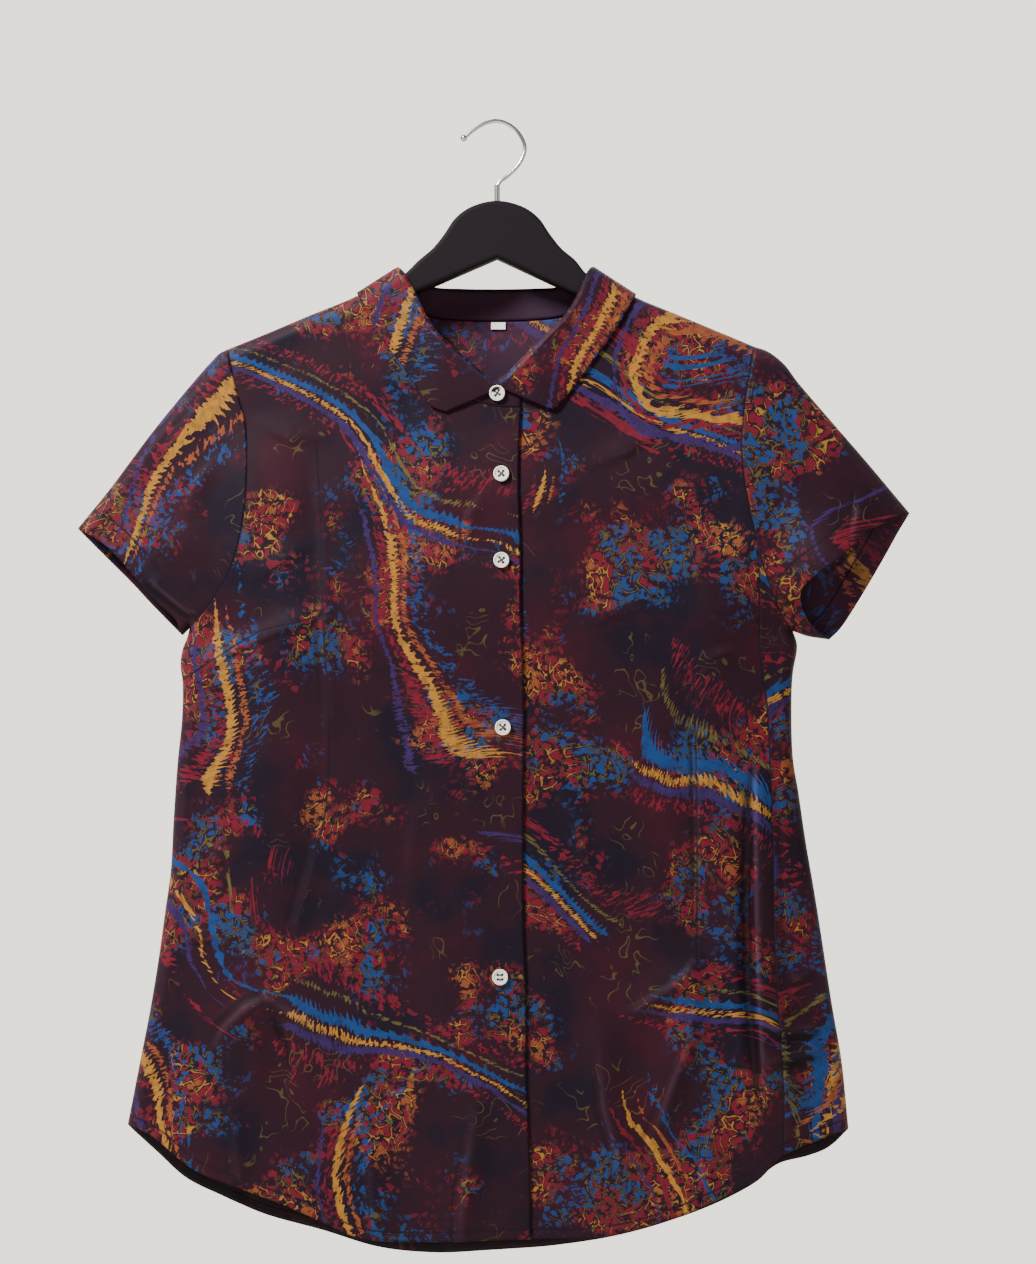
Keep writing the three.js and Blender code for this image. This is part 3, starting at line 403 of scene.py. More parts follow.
def broadRise(side, p):
    # Each fold adds rise * exp(-(distance across / half width)^2), faded at both ends
    total = np.zeros(p.shape[:-1])
    early, fade = form["foldEnds"]
    for x0, z0, x1, z1, width, rise in broadFolds[side]:
        e = np.array([x1 - x0, z1 - z0], float)
        long = np.linalg.norm(e)
        off = p - np.array([x0, z0])
        along = off @ e / long
        across = (off[..., 0] * e[1] - off[..., 1] * e[0]) / long
        ends = smooth((along + early) / fade) * smooth((long + early - along) / fade)
        total += rise * ends * np.exp(-((across / width) ** 2))
    return total


def softRelief(side, p):
    # Low hollows and swells of slack cloth: waves across and down, each bent by a longer wave
    x, z = p[..., 0], p[..., 1]
    turn = 0 if side == "front" else 2.1
    a = np.sin(x / 31 + 1.7 * np.sin(z / 83 + turn) + turn)
    b = np.sin(z / 47 + 1.3 * np.sin(x / 59 - turn) + 0.6)
    c = np.sin((x + z) / 21 + 2.2 * np.sin((x - z) / 97) + turn)
    return 0.55 * a * b + 0.22 * c


def fill(side, p, d):
    # Height over the fold's rounding: fullness by z, sleeves, bow or bulge, folds and creases, each
    # growing from nothing at the fold (d = 0)
    x, z = p[..., 0], p[..., 1]
    reach, sleeve = form["reach"], form["sleeve"]
    rows = np.array(form["fullness"], float)[::-1]
    column = 1 if side == "front" else 2
    low = np.clip(np.searchsorted(rows[:, 0], z) - 1, 0, len(rows) - 2)
    t = smooth((z - rows[low, 0]) / (rows[low + 1, 0] - rows[low, 0]))
    body = rows[low, column] + (rows[low + 1, column] - rows[low, column]) * t
    inSleeve = smooth((np.abs(x) - sleeve["x"]) / sleeve["overX"])
    inSleeve = inSleeve * smooth((z - sleeve["z"]) / sleeve["overZ"])
    rise = (body + (sleeve["fullness"] - body) * inSleeve) * smooth(d / reach["body"])
    if side == "back":
        bow = form["neckBow"]
        spread = np.exp(-((x / bow["x"]) ** 2) - ((z - bow["at"]) / bow["z"]) ** 2)
        rise += bow["height"] * spread * smooth(d / reach["neckBow"])
    else:
        bulge = form["cuffBulge"]
        away = np.hypot(x - bulge["x"], z - bulge["z"]) / bulge["reach"]
        rise += bulge["height"] * np.exp(-(away**2)) * smooth(d / reach["cuffBulge"])
    rise += broadRise(side, p) * smooth(d / reach["broadFolds"])
    return rise + (creaseRise(side, p) + softRelief(side, p)) * smooth(d / reach["creases"])


def lay(side, grid, fold=(), lift=0, gap=0.0, unfolded=False):
    # Places a grid of x, z on one layer. fold pairs the grid's folded edges with the points beside them
    # A place at distance d from the fold stands off by the fold's rounding plus the cloth's fullness
    sign = -1 if side == "front" else 1
    d, way = fromFold(grid)
    for edge, beside in fold:
        d[edge] = 0
        way[edge] = way[beside]
    radius = form["foldRadius"]
    inRound = np.minimum(1, d / radius)
    height = radius * np.sqrt(1 - (1 - inRound) ** 2) + fill(side, grid, d)
    points = np.stack([grid[..., 0], sign * np.maximum(gap, height), grid[..., 1]], axis=-1)
    normals = np.cross(np.gradient(points, axis=1), np.gradient(points, axis=0))
    normals /= np.maximum(np.linalg.norm(normals, axis=-1, keepdims=True), 1e-9)
    if normals[..., 1].sum() * sign < 0:
        normals = -normals
    for edge, beside in fold:
        normals[edge] = np.stack([-way[edge][..., 0], 0 * d[edge], -way[edge][..., 1]], axis=-1)
    # the print lies along the cloth, so the round of the fold takes more of it than it shows
    turned = np.arcsin(1 - inRound)
    more = radius * (turned - np.sin(turned))
    if unfolded:  # this side carries on beyond the fold
        more = 2 * d + radius * (math.pi - 2) - more
    flat = grid - way * more[..., None]
    return points + normals * (np.zeros(d.shape) + lift)[..., None], normals, flat


def seamPlaces(grid, lines):
    # Signed distance to the nearest sewn line, the same without its sign, and the length along it
    # Each line has its offset into the cloth: 0 is on the line itself
    signed = np.full(grid.shape[:-1], 50.0)
    along = np.zeros(grid.shape[:-1])
    for line, offset in lines:
        points = curve(line, evenly(60)) if len(line) > 2 else np.array(line, float)
        d, side, run, _ = toLine(grid, points)
        value = d * side if offset == 0 else d - offset
        near = np.abs(value) < np.abs(signed)
        signed = np.where(near, value, signed)
        along = np.where(near, run, along)
    return np.stack([signed, np.abs(signed), along], axis=-1)


def bending(points, normals):
    # Per millimetre: positive over ridges, where normals part, and negative in hollows, where they close
    total = np.zeros(points.shape[:-1])
    for axis in (0, 1):
        e = np.gradient(points, axis=axis)
        total += (e * np.gradient(normals, axis=axis)).sum(-1) / np.maximum((e * e).sum(-1), 0.01)
    return np.clip(total, -0.5, 0.5)


class Cloth:
    # Gathers grids of one piece and makes its mesh
    def __init__(self, name, shift=(0, 0), turn=0):
        self.name = name
        self.shift = np.array(shift, float)
        self.turn = math.radians(turn)
        self.grids = []

    def add(self, points, normals, flat, seams=None):
        seams = np.full(points.shape, 50.0) if seams is None else seams
        c, s = math.cos(self.turn), math.sin(self.turn)
        turned = np.stack([flat[..., 0] * c - flat[..., 1] * s, flat[..., 0] * s + flat[..., 1] * c], axis=-1)
        self.grids.append((points, normals, (turned + self.shift) * mm, seams))

    def make(self, thickness, materials):
        places, faces, prints, sewn, bends = [], [], [], [], []
        start = 0
        for points, normals, flat, seams in self.grids:
            rows, columns = points.shape[:2]
            n = np.arange(rows * columns).reshape(rows, columns)
            quads = np.stack([n[:-1, :-1], n[:-1, 1:], n[1:, 1:], n[1:, :-1]], axis=-1).reshape(-1, 4)
            p = points.reshape(-1, 3)
            facing = np.cross(p[quads[:, 2]] - p[quads[:, 0]], p[quads[:, 3]] - p[quads[:, 1]])
            if (facing * normals.reshape(-1, 3)[quads[:, 0]]).sum() < 0:
                quads = quads[:, ::-1]
            prints.append(flat.reshape(-1, 2)[quads.ravel()])
            sewn.append(seams.reshape(-1, 3)[quads.ravel()])
            bends.append(bending(points, normals).ravel()[quads.ravel()])
            faces.append(quads + start)
            places.append(p)
            start += rows * columns
        places = asSeen(np.vstack(places))
        faces = np.vstack(faces)
        # grids that meet share their edge points, matched to a fiftieth of a millimetre
        _, first, known = np.unique(np.round(places * 50), axis=0, return_index=True, return_inverse=True)
        faces = known.ravel()[faces]
        mesh = bpy.data.meshes.new(self.name)
        mesh.from_pydata((places[first] * mm).tolist(), [], faces.tolist())
        mesh.uv_layers.new(name="print").data.foreach_set("uv", np.vstack(prints).ravel())
        sewnAttribute = mesh.attributes.new("sewn", "FLOAT_VECTOR", "CORNER")
        sewnAttribute.data.foreach_set("vector", np.vstack(sewn).ravel())
        # bend is the cloth's curvature, which the material turns into painted shade in hollows and a painted
        # highlight on ridges
        mesh.attributes.new("bend", "FLOAT", "CORNER").data.foreach_set("value", np.concatenate(bends))
        mesh.validate()
        mesh.polygons.foreach_set("use_smooth", np.ones(len(mesh.polygons), bool))
        piece = bpy.data.objects.new(self.name, mesh)
        scene.collection.objects.link(piece)
        for material in materials:
            mesh.materials.append(material)
        shell = piece.modifiers.new("thickness", "SOLIDIFY")
        shell.thickness = thickness * mm
        shell.offset = -1
        shell.material_offset = len(materials) - 1
        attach(piece, "root")
        return piece


def mixed(name, **values):
    material = bpy.data.materials.new(name)
    material.use_nodes = True
    shader = material.node_tree.nodes["Principled BSDF"]
    for key, value in values.items():
        shader.inputs[key.replace("_", " ")].default_value = value
    return material


class Out:
    # A shader socket that takes arithmetic
    def __init__(self, paint, socket):
        self.paint = paint
        self.socket = socket

    def maths(self, operation, *values):
        return self.paint.node("ShaderNodeMath", {"operation": operation}, dict(enumerate(values)))

    def __add__(self, other):
        return self.maths("ADD", self, other)

    def __radd__(self, other):
        return self.maths("ADD", other, self)

    def __sub__(self, other):
        return self.maths("SUBTRACT", self, other)

    def __rsub__(self, other):
        return self.maths("SUBTRACT", other, self)

    def __mul__(self, other):
        return self.maths("MULTIPLY", self, other)

    def __rmul__(self, other):
        return self.maths("MULTIPLY", other, self)

    def __truediv__(self, other):
        return self.maths("DIVIDE", self, other)

    def __rtruediv__(self, other):
        return self.maths("DIVIDE", other, self)

    def floor(self):
        return self.maths("FLOOR", self)

    def fraction(self):
        return self.maths("FRACT", self)

    def size(self):
        return self.maths("ABSOLUTE", self)


class Paint:
    # The nodes of a material or world
    def __init__(self, owner):
        self.tree = owner.node_tree
        self.tree.nodes.clear()

    def node(self, kind, settings, inputs, output=0):
        made = self.tree.nodes.new(kind)
        for key, value in settings.items():
            setattr(made, key, value)
        for key, value in inputs.items():
            if isinstance(value, Out):
                self.tree.links.new(value.socket, made.inputs[key])
            else:
                made.inputs[key].default_value = value
        return Out(self, made.outputs[output]) if made.outputs else None

    def vector(self, operation, a, b, output=0):
        key = 3 if operation == "SCALE" else 1
        return self.node("ShaderNodeVectorMath", {"operation": operation}, {0: a, key: b}, output)

    def noise(self, place, scale, detail=2, rough=0.5, output=0):
        inputs = {"Vector": place, "Scale": scale, "Detail": detail, "Roughness": rough}
        return self.node("ShaderNodeTexNoise", {}, inputs, output)

    def step(self, value, low, high, bottom=0, top=1):
        inputs = {"Value": value, "From Min": low, "From Max": high, "To Min": bottom, "To Max": top}
        return self.node("ShaderNodeMapRange", {"interpolation_type": "SMOOTHSTEP"}, inputs)

    def mix(self, share, a, b):
        return self.node("ShaderNodeMix", {"data_type": "RGBA"}, {0: share, 6: a, 7: b}, 2)

    def combine(self, x, y, z):
        return self.node("ShaderNodeCombineXYZ", {}, {0: x, 1: y, 2: z})


def rgb(red, green, blue):
    # sRGB 0-255 to linear
    parts = [c / 255 for c in (red, green, blue)]
    return tuple(c / 12.92 if c <= 0.04045 else ((c + 0.055) / 1.055) ** 2.4 for c in parts) + (1,)


dyeShade = 0.46  # darker than in the photograph, because the studio light is brighter


def dye(red, green, blue):
    return tuple(c * dyeShade for c in rgb(red, green, blue)[:3]) + (1,)


dyes = {
    "ground": dye(44, 19, 33),
    "deepGround": dye(28, 18, 35),
    "warmGround": dye(56, 19, 34),
    "blue": dye(28, 68, 126),
    "gold": dye(184, 128, 50),
    "orange": dye(152, 80, 46),
    "red": dye(122, 28, 46),
    "purple": dye(58, 38, 92),
    "olive": dye(100, 90, 48),
    "reverse": dye(104, 66, 98),
    # painted shade and painted highlight, not dyes of the cloth: the colours that hollows, turned-in hems and
    # ridges are drawn towards
    "paintedShade": dye(16, 8, 14),
    "paintedHighlight": dye(128, 100, 122),
}

# The print: each flow is a run of long lines that bend together, with toothed stripes along them.
# A stripe: middle, half width, length of its teeth, their pitch and side, its dye, and how broken it is
flows = [
    {"angle": 64, "period": 186, "warp": 380, "seed": 3.1, "gate": 0.40, "stripes": [
        (36, 10, 5.0, 5.0, 1, "red", 0.52), (17, 3.2, 3.0, 4.4, 0, "olive", 0.45),
        (0, 6.8, 9.5, 6.4, 1, "blue", 0.30), (-13, 4.8, 3.8, 3.6, 0, "gold", 0.42),
        (-23, 4.8, 2.0, 5.2, -1, "purple", 0.36), (-38, 9, 3.4, 5.0, 0, "red", 0.53),
    ]},
    {"angle": 17, "period": 172, "warp": 340, "seed": 17.7, "gate": 0.42, "stripes": [
        (24, 9, 4.2, 5.6, 1, "blue", 0.54), (8, 4.2, 3.2, 4.2, 0, "orange", 0.45),
        (-4, 6.2, 7.0, 5.0, 1, "gold", 0.36), (-17, 6, 4.4, 4.6, -1, "red", 0.49),
        (-30, 4.0, 2.6, 5.4, 0, "purple", 0.42),
    ]},
]


def flowLayer(paint, place, colour, flow):
    # Signed distance to the middle of the nearest line, in millimetres, is (fraction - 1/2) * period
    seed = flow["seed"]
    moved = paint.vector("ADD", place, (seed * 31, -seed * 53, seed))
    push = paint.vector("SUBTRACT", paint.noise(moved, 1 / 210, 1.0, 0.4, 1), (0.5, 0.5, 0.5))
    bent = paint.vector("ADD", moved, paint.vector("SCALE", push, flow["warp"]))
    turn = math.radians(flow["angle"])
    a = paint.vector("DOT_PRODUCT", bent, (math.cos(turn), math.sin(turn), 0), 1)
    b = paint.vector("DOT_PRODUCT", bent, (-math.sin(turn), math.cos(turn), 0), 1)
    turns = a / flow["period"]
    across = (turns.fraction() - 0.5) * flow["period"]
    cell = turns.floor()
    ragged = paint.noise(moved, 1 / 6, 2, 0.6)
    wander = (paint.noise(moved, 1 / 34, 1, 0.5) - 0.5) * 15
    gate = paint.noise(paint.combine(b / 190, cell * 3.7, seed), 1, 1.5, 0.5)
    room = paint.step(gate, flow["gate"], flow["gate"] + 0.1)
    # strokes are short marks across the flow, and broken takes some of them away
    strokes = paint.noise(paint.combine(b / 2.1, across / 20, seed * 3), 1, 2, 0.6)
    broken = paint.noise(paint.combine(b / 2.7, across / 6.5, seed * 5), 1, 2, 0.55)
    shade = paint.step(ragged, 0.62, 0.3) * 0.38
    for number, (middle, width, long, pitch, side, name, gaps) in enumerate(flow["stripes"]):
        off = across - middle + wander
        comb = ((b + ragged * 4 + off * (0.5 if number % 2 else -0.4)) / pitch).fraction()
        teeth = (comb - 0.5).size() * 2
        uneven = paint.noise(paint.combine(b / 13, cell * 1.9, number * 2.3 + seed), 1, 1, 0.5) + 0.45
        if side:
            teeth = teeth * (paint.step(off * side, -0.5, 2.0) * 0.85 + 0.15)
        half = room * (width - teeth * long * uneven + (strokes - 0.5) * width * 2.2) - (1 - room) * 3
        mark = paint.step(half - off.size(), -0.3, 0.3) * paint.step(broken, gaps, gaps + 0.04)
        colour = paint.mix(mark, colour, paint.mix(shade, dyes[name], dyes["deepGround"]))
    return colour


def netLayer(paint, place, colour):
    # Uneven cells: coloured inside, with light threads between them, over part of the cloth
    push = paint.vector("SUBTRACT", paint.noise(place, 1 / 40, 2, 0.5, 1), (0.5, 0.5, 0.5))
    bent = paint.vector("ADD", place, paint.vector("SCALE", push, 55))
    stretched = paint.vector("MULTIPLY", bent, (1, 0.55, 1))
    cells = {"Vector": stretched, "Scale": 1 / 6.5, "Randomness": 1.0}
    edge = paint.node("ShaderNodeTexVoronoi", {"feature": "DISTANCE_TO_EDGE"}, cells)
    tint = paint.noise(paint.vector("ADD", place, (210, 35, 8)), 1 / 34, 2, 0.55)
    area = paint.noise(paint.vector("ADD", place, (70, 400, 3)), 1 / 75, 2.5, 0.55)
    near = paint.step(area, 0.47, 0.57)
    ragged = paint.noise(place, 1 / 5, 2, 0.6)
    fill = paint.step(edge + (ragged - 0.5) * 0.35, 0.1, 0.16) * near * paint.step(ragged + area, 1.0, 1.05)
    warm = paint.mix(paint.step(tint, 0.6, 0.63), dyes["red"], dyes["orange"])
    inner = paint.mix(paint.step(tint, 0.45, 0.47), dyes["blue"], warm)
    colour = paint.mix(fill * 0.85, colour, inner)
    thread = paint.step(edge, 0.055, 0.025) * paint.step(area, 0.53, 0.58) * paint.step(ragged, 0.42, 0.5)
    yarn = paint.mix(paint.step(tint, 0.5, 0.54), dyes["olive"], dyes["gold"])
    colour = paint.mix(thread * 0.8, colour, yarn)
    # thin looping lines elsewhere
    loops = paint.noise(paint.vector("ADD", bent, (33, 71, 5)), 1 / 20, 1, 0.5)
    contour = ((loops * 6).fraction() - 0.5).size()
    where = paint.step(area, 0.43, 0.39) * paint.step(tint, 0.46, 0.52)
    return paint.mix(paint.step(contour, 0.07, 0.03) * where * 0.55, colour, dyes["olive"])


def ground(paint, place):
    # Cloudy aubergine between bluer and warmer parts
    cloudy = paint.noise(place, 1 / 80, 3, 0.55)
    colour = paint.mix(paint.step(cloudy, 0.38, 0.5), dyes["deepGround"], dyes["ground"])
    return paint.mix(paint.step(cloudy, 0.52, 0.66), colour, dyes["warmGround"])


def printed(paint, place):
    colour = netLayer(paint, place, ground(paint, place))
    for flow in flows:
        colour = flowLayer(paint, place, colour, flow)
    return colour


# The cloth's surface, with its painted shade and painted highlight, widths in millimetres
surface = {
    "stitchPitch": 2.8,
    "seamWidth": (1.1, 0.35),
    "stitchWidth": (0.8, 0.45),
    "seamShade": 0.75,
    # painted shade inside turned-in hems: the distances from the sewn line over which it fades in, and how
    # dark it gets
    "turnedHem": (20, 11),
    "hemPaintedShade": 0.85,
    # how strongly painted shade darkens hollows and a painted highlight lightens ridges
    "hollowPaintedShade": 0.68,
    "ridgeHighlight": 0.1,
    "weave": 0.035,
    "crumple": 0.5,
    "seamDepth": 0.32,
    "stitchRise": 0.16,
    "bump": 0.75,
    "roughness": 0.6,
    "specular": 0.07,
}


def makeCloth(name, reverse=0, plain=False, paintsHemShade=False):
    material = bpy.data.materials.new(name)
    material.use_nodes = True
    paint = Paint(material)
    uv = paint.node("ShaderNodeUVMap", {"uv_map": "print"}, {})
    place = paint.vector("SCALE", uv, 1000.0)
    colour = ground(paint, place) if plain else printed(paint, place)
    if reverse:
        colour = paint.mix(reverse, colour, dyes["reverse"])
    sewn = paint.node("ShaderNodeAttribute", {"attribute_name": "sewn"}, {}, 1)
    signed, plainDistance, along = [paint.node("ShaderNodeSeparateXYZ", {}, {0: sewn}, k) for k in range(3)]
    close = paint.step(plainDistance, 4.5, 3.0)
    line = paint.step(signed.size(), *surface["seamWidth"]) * close
    fromGap = ((along / surface["stitchPitch"]).fraction() - 0.5).size()
    stitch = paint.step(signed.size(), *surface["stitchWidth"]) * close * paint.step(fromGap, 0.42, 0.36)
    colour = paint.mix(line * surface["seamShade"], colour, dyes["deepGround"])
    if paintsHemShade:  # painted shade: near turned-in hems and seam allowances the reverse goes near black for the shadow inside them, and shows plain ground
        hemShadeMask = paint.step(plainDistance, *surface["turnedHem"]) * surface["hemPaintedShade"]
        colour = paint.mix(hemShadeMask, colour, dyes["paintedShade"])
    # painted shade darkens sharp hollows and a painted highlight lightens ridges, but for the collar's roll
    bend = paint.node("ShaderNodeAttribute", {"attribute_name": "bend"}, {}, 2)
    colour = paint.mix(paint.step(bend, -0.015, -0.11) * surface["hollowPaintedShade"], colour, dyes["paintedShade"])
    # painted highlight on ridges
    paintedRidgeHighlight = paint.step(bend, 0.03, 0.2) * paint.step(bend, 0.3, 0.24)
    colour = paint.mix(paintedRidgeHighlight * surface["ridgeHighlight"], colour, dyes["paintedHighlight"])
    weave = paint.noise(place, 1 / 1.1, 1, 0.5)
    crumple = paint.noise(place, 1 / 22, 3, 0.55)
    height = weave * surface["weave"] + crumple * surface["crumple"]
    height = height - line * surface["seamDepth"] + stitch * surface["stitchRise"]
    bump = paint.node("ShaderNodeBump", {}, {"Strength": surface["bump"], "Distance": mm, "Height": height})
    values = {
        "Base Color": colour, "Normal": bump, "Roughness": surface["roughness"],
        "Specular IOR Level": surface["specular"],
    }
    shader = paint.node("ShaderNodeBsdfPrincipled", {}, values)
    paint.node("ShaderNodeOutputMaterial", {}, {0: shader})
    return material


cloth = makeCloth("cloth")
reverse = makeCloth("clothReverse", reverse=0.2, paintsHemShade=True)
sleeveReverse = makeCloth("clothSleeveReverse", reverse=0.2)
plainPart = makeCloth("clothPlainPart", plain=True)
plainReverse = makeCloth("clothPlainReverse", reverse=0.2, plain=True)
thread = mixed("thread", Base_Color=rgb(46, 34, 44), Roughness=0.7)
resin = mixed("resin", Base_Color=rgb(196, 192, 182), Roughness=0.35, Specular_IOR_Level=0.3)
blackSatin = mixed("blackSatin", Base_Color=rgb(23, 18, 22), Roughness=0.6, Specular_IOR_Level=0.04)
chrome = mixed("chrome", Base_Color=rgb(168, 168, 174), Roughness=0.24, Metallic=1.0)
tape = mixed("tape", Base_Color=rgb(214, 212, 206), Roughness=0.8)
print("materials made")

# Rows and columns of the finer grids
counts = {
    "armhole": 100, "side": 190, "neck": 60, "front": 126,
    "armholeBack": 76, "sideBack": 140, "neckBack": 46, "back": 96, "wrap": 20,
    "sleeve": 62, "stand": 8, "fall": 26,
}
shell = {"body": 0.5, "sleeve": 0.5, "stand": 0.9, "fall": 1.1}  # walls
hemStitch = 7
cuffStitch = 17

# Sewn lines on the panels, besides their seams
darts = {
    "right": [
        [(-225, -400), (-171, -366.5), (-149, -361), (-121, -353)],
        [(-129.6, -233), (-126.7, -286), (-124.6, -372), (-121, -422.6), (-123.8, -497.5), (-133.9, -535),
         (-144.7, -574.6), (-146.2, -594.7)],
    ],
    "left": [
        [(190.8, -360.7), (174, -356), (157.7, -352.8)],
        [(167.8, -383), (155, -386.5), (141.8, -389.5)],
        [(140.4, -389.5), (141.8, -408.2), (143.3, -458.6), (144, -523.4), (144, -602.6)],
    ],
    "back": [
        [(-84, -340), (-88, -420), (-92, -520), (-88, -610)],
        [(82, -340), (86, -420), (90, -520), (86, -610)],
    ],
}


def bodyGrid(shoulder, armhole, side, neck, centre, hem, rows):
    # A patch between shoulder and hem, with armhole and side down one edge, neck and centre down the other
    armRows, sideRows, neckRows, columns = rows
    outer = np.vstack([curve(armhole, closeAt(armRows, True, True)), curve(side, evenly(sideRows))[1:]])
    centreRows = armRows + sideRows - neckRows
    inner = np.vstack([curve(neck, closeAt(neckRows)), curve(centre, evenly(centreRows))[1:]])
    return patch(curve(shoulder, closeAt(columns)), curve(hem, closeAt(columns)), outer, inner)


def overStep(x):
    # the top front lies before the under front from where that begins
    return form["overlap"] * smooth((x - form["overlapFrom"]) / form["overlapOver"])


def nothing(x):
    return 0 * x


topRow = (np.s_[0, :], np.s_[1, :])
lastRow = (np.s_[-1, :], np.s_[-2, :])


def sideBelow(row):
    return (np.s_[row:, 0], np.s_[row:, 1])


# Fronts
frontRows = (counts["armhole"], counts["side"], counts["neck"], counts["front"])
edges = (shoulderRight, armholeFrontRight, sideRight, neckFrontRight, edgeTop, hemFrontRight)
grid = bodyGrid(*edges, frontRows)
frontRight = Cloth("shirt_front_right", shift=(40, 900))
lines = [(line, 0) for line in darts["right"]]
lines += [(armholeFrontRight, 0), (hemFrontRight, hemStitch), (edgeTop, 0)]
folded = (topRow, sideBelow(counts["armhole"]))
meetGap = 0.1  # each front keeps this far from the middle plane
layer = lay("front", grid, folded, overStep(grid[..., 0]), meetGap)
frontRight.add(*layer, seamPlaces(grid, lines))
frontRightPiece = frontRight.make(shell["body"], (cloth, reverse))
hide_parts("front_right")

edges = (shoulderLeft, armholeFrontLeft, seamLeft, neckFrontLeft, edgeUnder, hemFrontLeft)
grid = bodyGrid(*edges, frontRows)
frontLeft = Cloth("shirt_front_left", shift=(1370, 310), turn=8)
lines = [(line, 0) for line in darts["left"]]
lines += [(armholeFrontLeft, 0), (seamLeft, 0), (hemFrontLeft, hemStitch)]
frontLeft.add(*lay("front", grid, (topRow,), 0, meetGap), seamPlaces(grid, lines))
frontLeftPiece = frontLeft.make(shell["body"], (cloth, reverse))
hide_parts("front_left")
print("fronts made")

# Back, with the strip that wraps round to the front at the viewer's right
back = Cloth("shirt_back", shift=(-700, 1760), turn=-5)
backRows = (counts["armholeBack"], counts["sideBack"], counts["neckBack"], counts["back"])
folded = (topRow, sideBelow(counts["armholeBack"]))
for shoulder, armhole, side, neck, hem in (
    (shoulderRight, armholeBackRight, sideRight, neckBackRight, hemBackRight),
    (shoulderLeft, armholeBackLeft, sideLeft, neckBackLeft, hemBackLeft),
):
    grid = bodyGrid(shoulder, armhole, side, neck, centreBack, hem, backRows)
    lines = [(line, 0) for line in darts["back"]] + [(armhole, 0), (hem, hemStitch)]
    back.add(*lay("back", grid, folded), seamPlaces(grid, lines))
wrapShares = 1 - closeAt(counts["wrap"])[::-1]
sides = evenly(counts["sideBack"])
grid = patch(
    curve(armholeUnderLeft, wrapShares), curve(hemWrapLeft, wrapShares),
    curve(seamLeft, sides), curve(sideLeft, sides),
)
lines = [(armholeUnderLeft, 0), (seamLeft, 0), (hemWrapLeft, hemStitch)]
back.add(*lay("front", grid, [(np.s_[:, -1], np.s_[:, -2])], unfolded=True), seamPlaces(grid, lines))
backPiece = back.make(shell["body"], (cloth, reverse))
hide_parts("back")
print("back made")


def mirrored(p, a, b):
    # Places turned over the line from a to b: what lies along it stays, and what lies across changes sign
    e = np.subtract(b, a) / np.linalg.norm(np.subtract(b, a))
    off = p - np.array(a)
    return np.array(a) + 2 * (off @ e)[..., None] * e - off


# Sleeves
for node, front, rear, topFold, underFold, cuffFront, cuffRear, shift, turn in (
    ("sleeve_right", armholeFrontRight, armholeBackRight, sleeveTopRight, underarmRight,
     cuffFrontRight, cuffBackRight, (2110, 420), 47),
    ("sleeve_left", armholeFrontLeft + armholeUnderLeft[1:], armholeBackLeft, sleeveTopLeft, underarmLeft,
     cuffFrontLeft, cuffBackLeft, (-1490, 620), -52),
):
    sleeve = Cloth("shirt_" + node, shift, turn)
    run = np.subtract(topFold[-1], topFold[0])
    outward = np.array([run[1], -run[0]]) / np.linalg.norm(run) * form["foldRadius"] * (math.pi - 2)
    outward *= np.sign(outward[1])
    columns = evenly(counts["sleeve"])
    for side, armhole, cuff in (("front", front, cuffFront), ("back", rear, cuffRear)):
        edge = curve(armhole, closeAt(counts["armhole"], True, True))
        cuffLine = curve(cuff, shareOf(edge))
        grid = patch(curve(topFold, columns), curve(underFold, columns), edge, cuffLine)
        points, normals, flat = lay(side, grid, (topRow, lastRow))
        if side == "back":  # the sleeve is one piece, so its print turns over the top fold
            flat = mirrored(flat, topFold[0], topFold[-1]) + outward
        sleeve.add(points, normals, flat, seamPlaces(grid, [(armhole, 0), (cuff, cuffStitch)]))
    # the left sleeve opens towards the viewer, so its lining goes without the painted shade inside the hem
    lining = sleeveReverse if node == "sleeve_left" else reverse
    sleeve.make(shell["sleeve"], (cloth, lining))
    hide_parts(node)
print("sleeves made")

# Collar: the stand, then the fall that turns over it
neckShares = closeAt(counts["neck"])
stand = Cloth("shirt_collar_stand", shift=(405, -1330), turn=80)
for side, neck, roll, over in (
    ("front", neckFrontRight, rollFrontRight, overStep),
    ("front", neckFrontLeft, rollFrontLeft, nothing),
    ("back", neckBackRight, rollBackRight, nothing),
    ("back", neckBackLeft, rollBackLeft, nothing),
):
    t = evenly(counts["stand"])[None, :, None]
    grid = curve(neck, neckShares)[:, None] * (1 - t) + curve(roll, neckShares)[:, None] * t
    stand.add(*lay(side, grid, (topRow,), over(grid[..., 0])), seamPlaces(grid, [(neck, 0)]))
standPiece = stand.make(shell["stand"], (plainPart, plainReverse))
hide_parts("collar_stand")

# lift is the fall's height over the stand at the roll, edgeLift that at its free edge. rollUsed is the share
# of the front roll line that the fall covers, rollStep in degrees, rollPrint the steps in the fall's width
collar = {
    "lift": 3.0,
    "edgeLift": 2.2,
    "rollGap": 0.6,
    "solidWall": 1.2,
    "rollUsed": 0.93,
    "rollStep": 9,
    "rollPrint": 80,
    "coverFrom": 28,
    "coverOver": 30,
}


def coverStep(x):
    # the fall reaches further out where the other stand's end lies on its own
    return form["overlap"] * (1 - smooth((x - collar["coverFrom"]) / collar["coverOver"]))


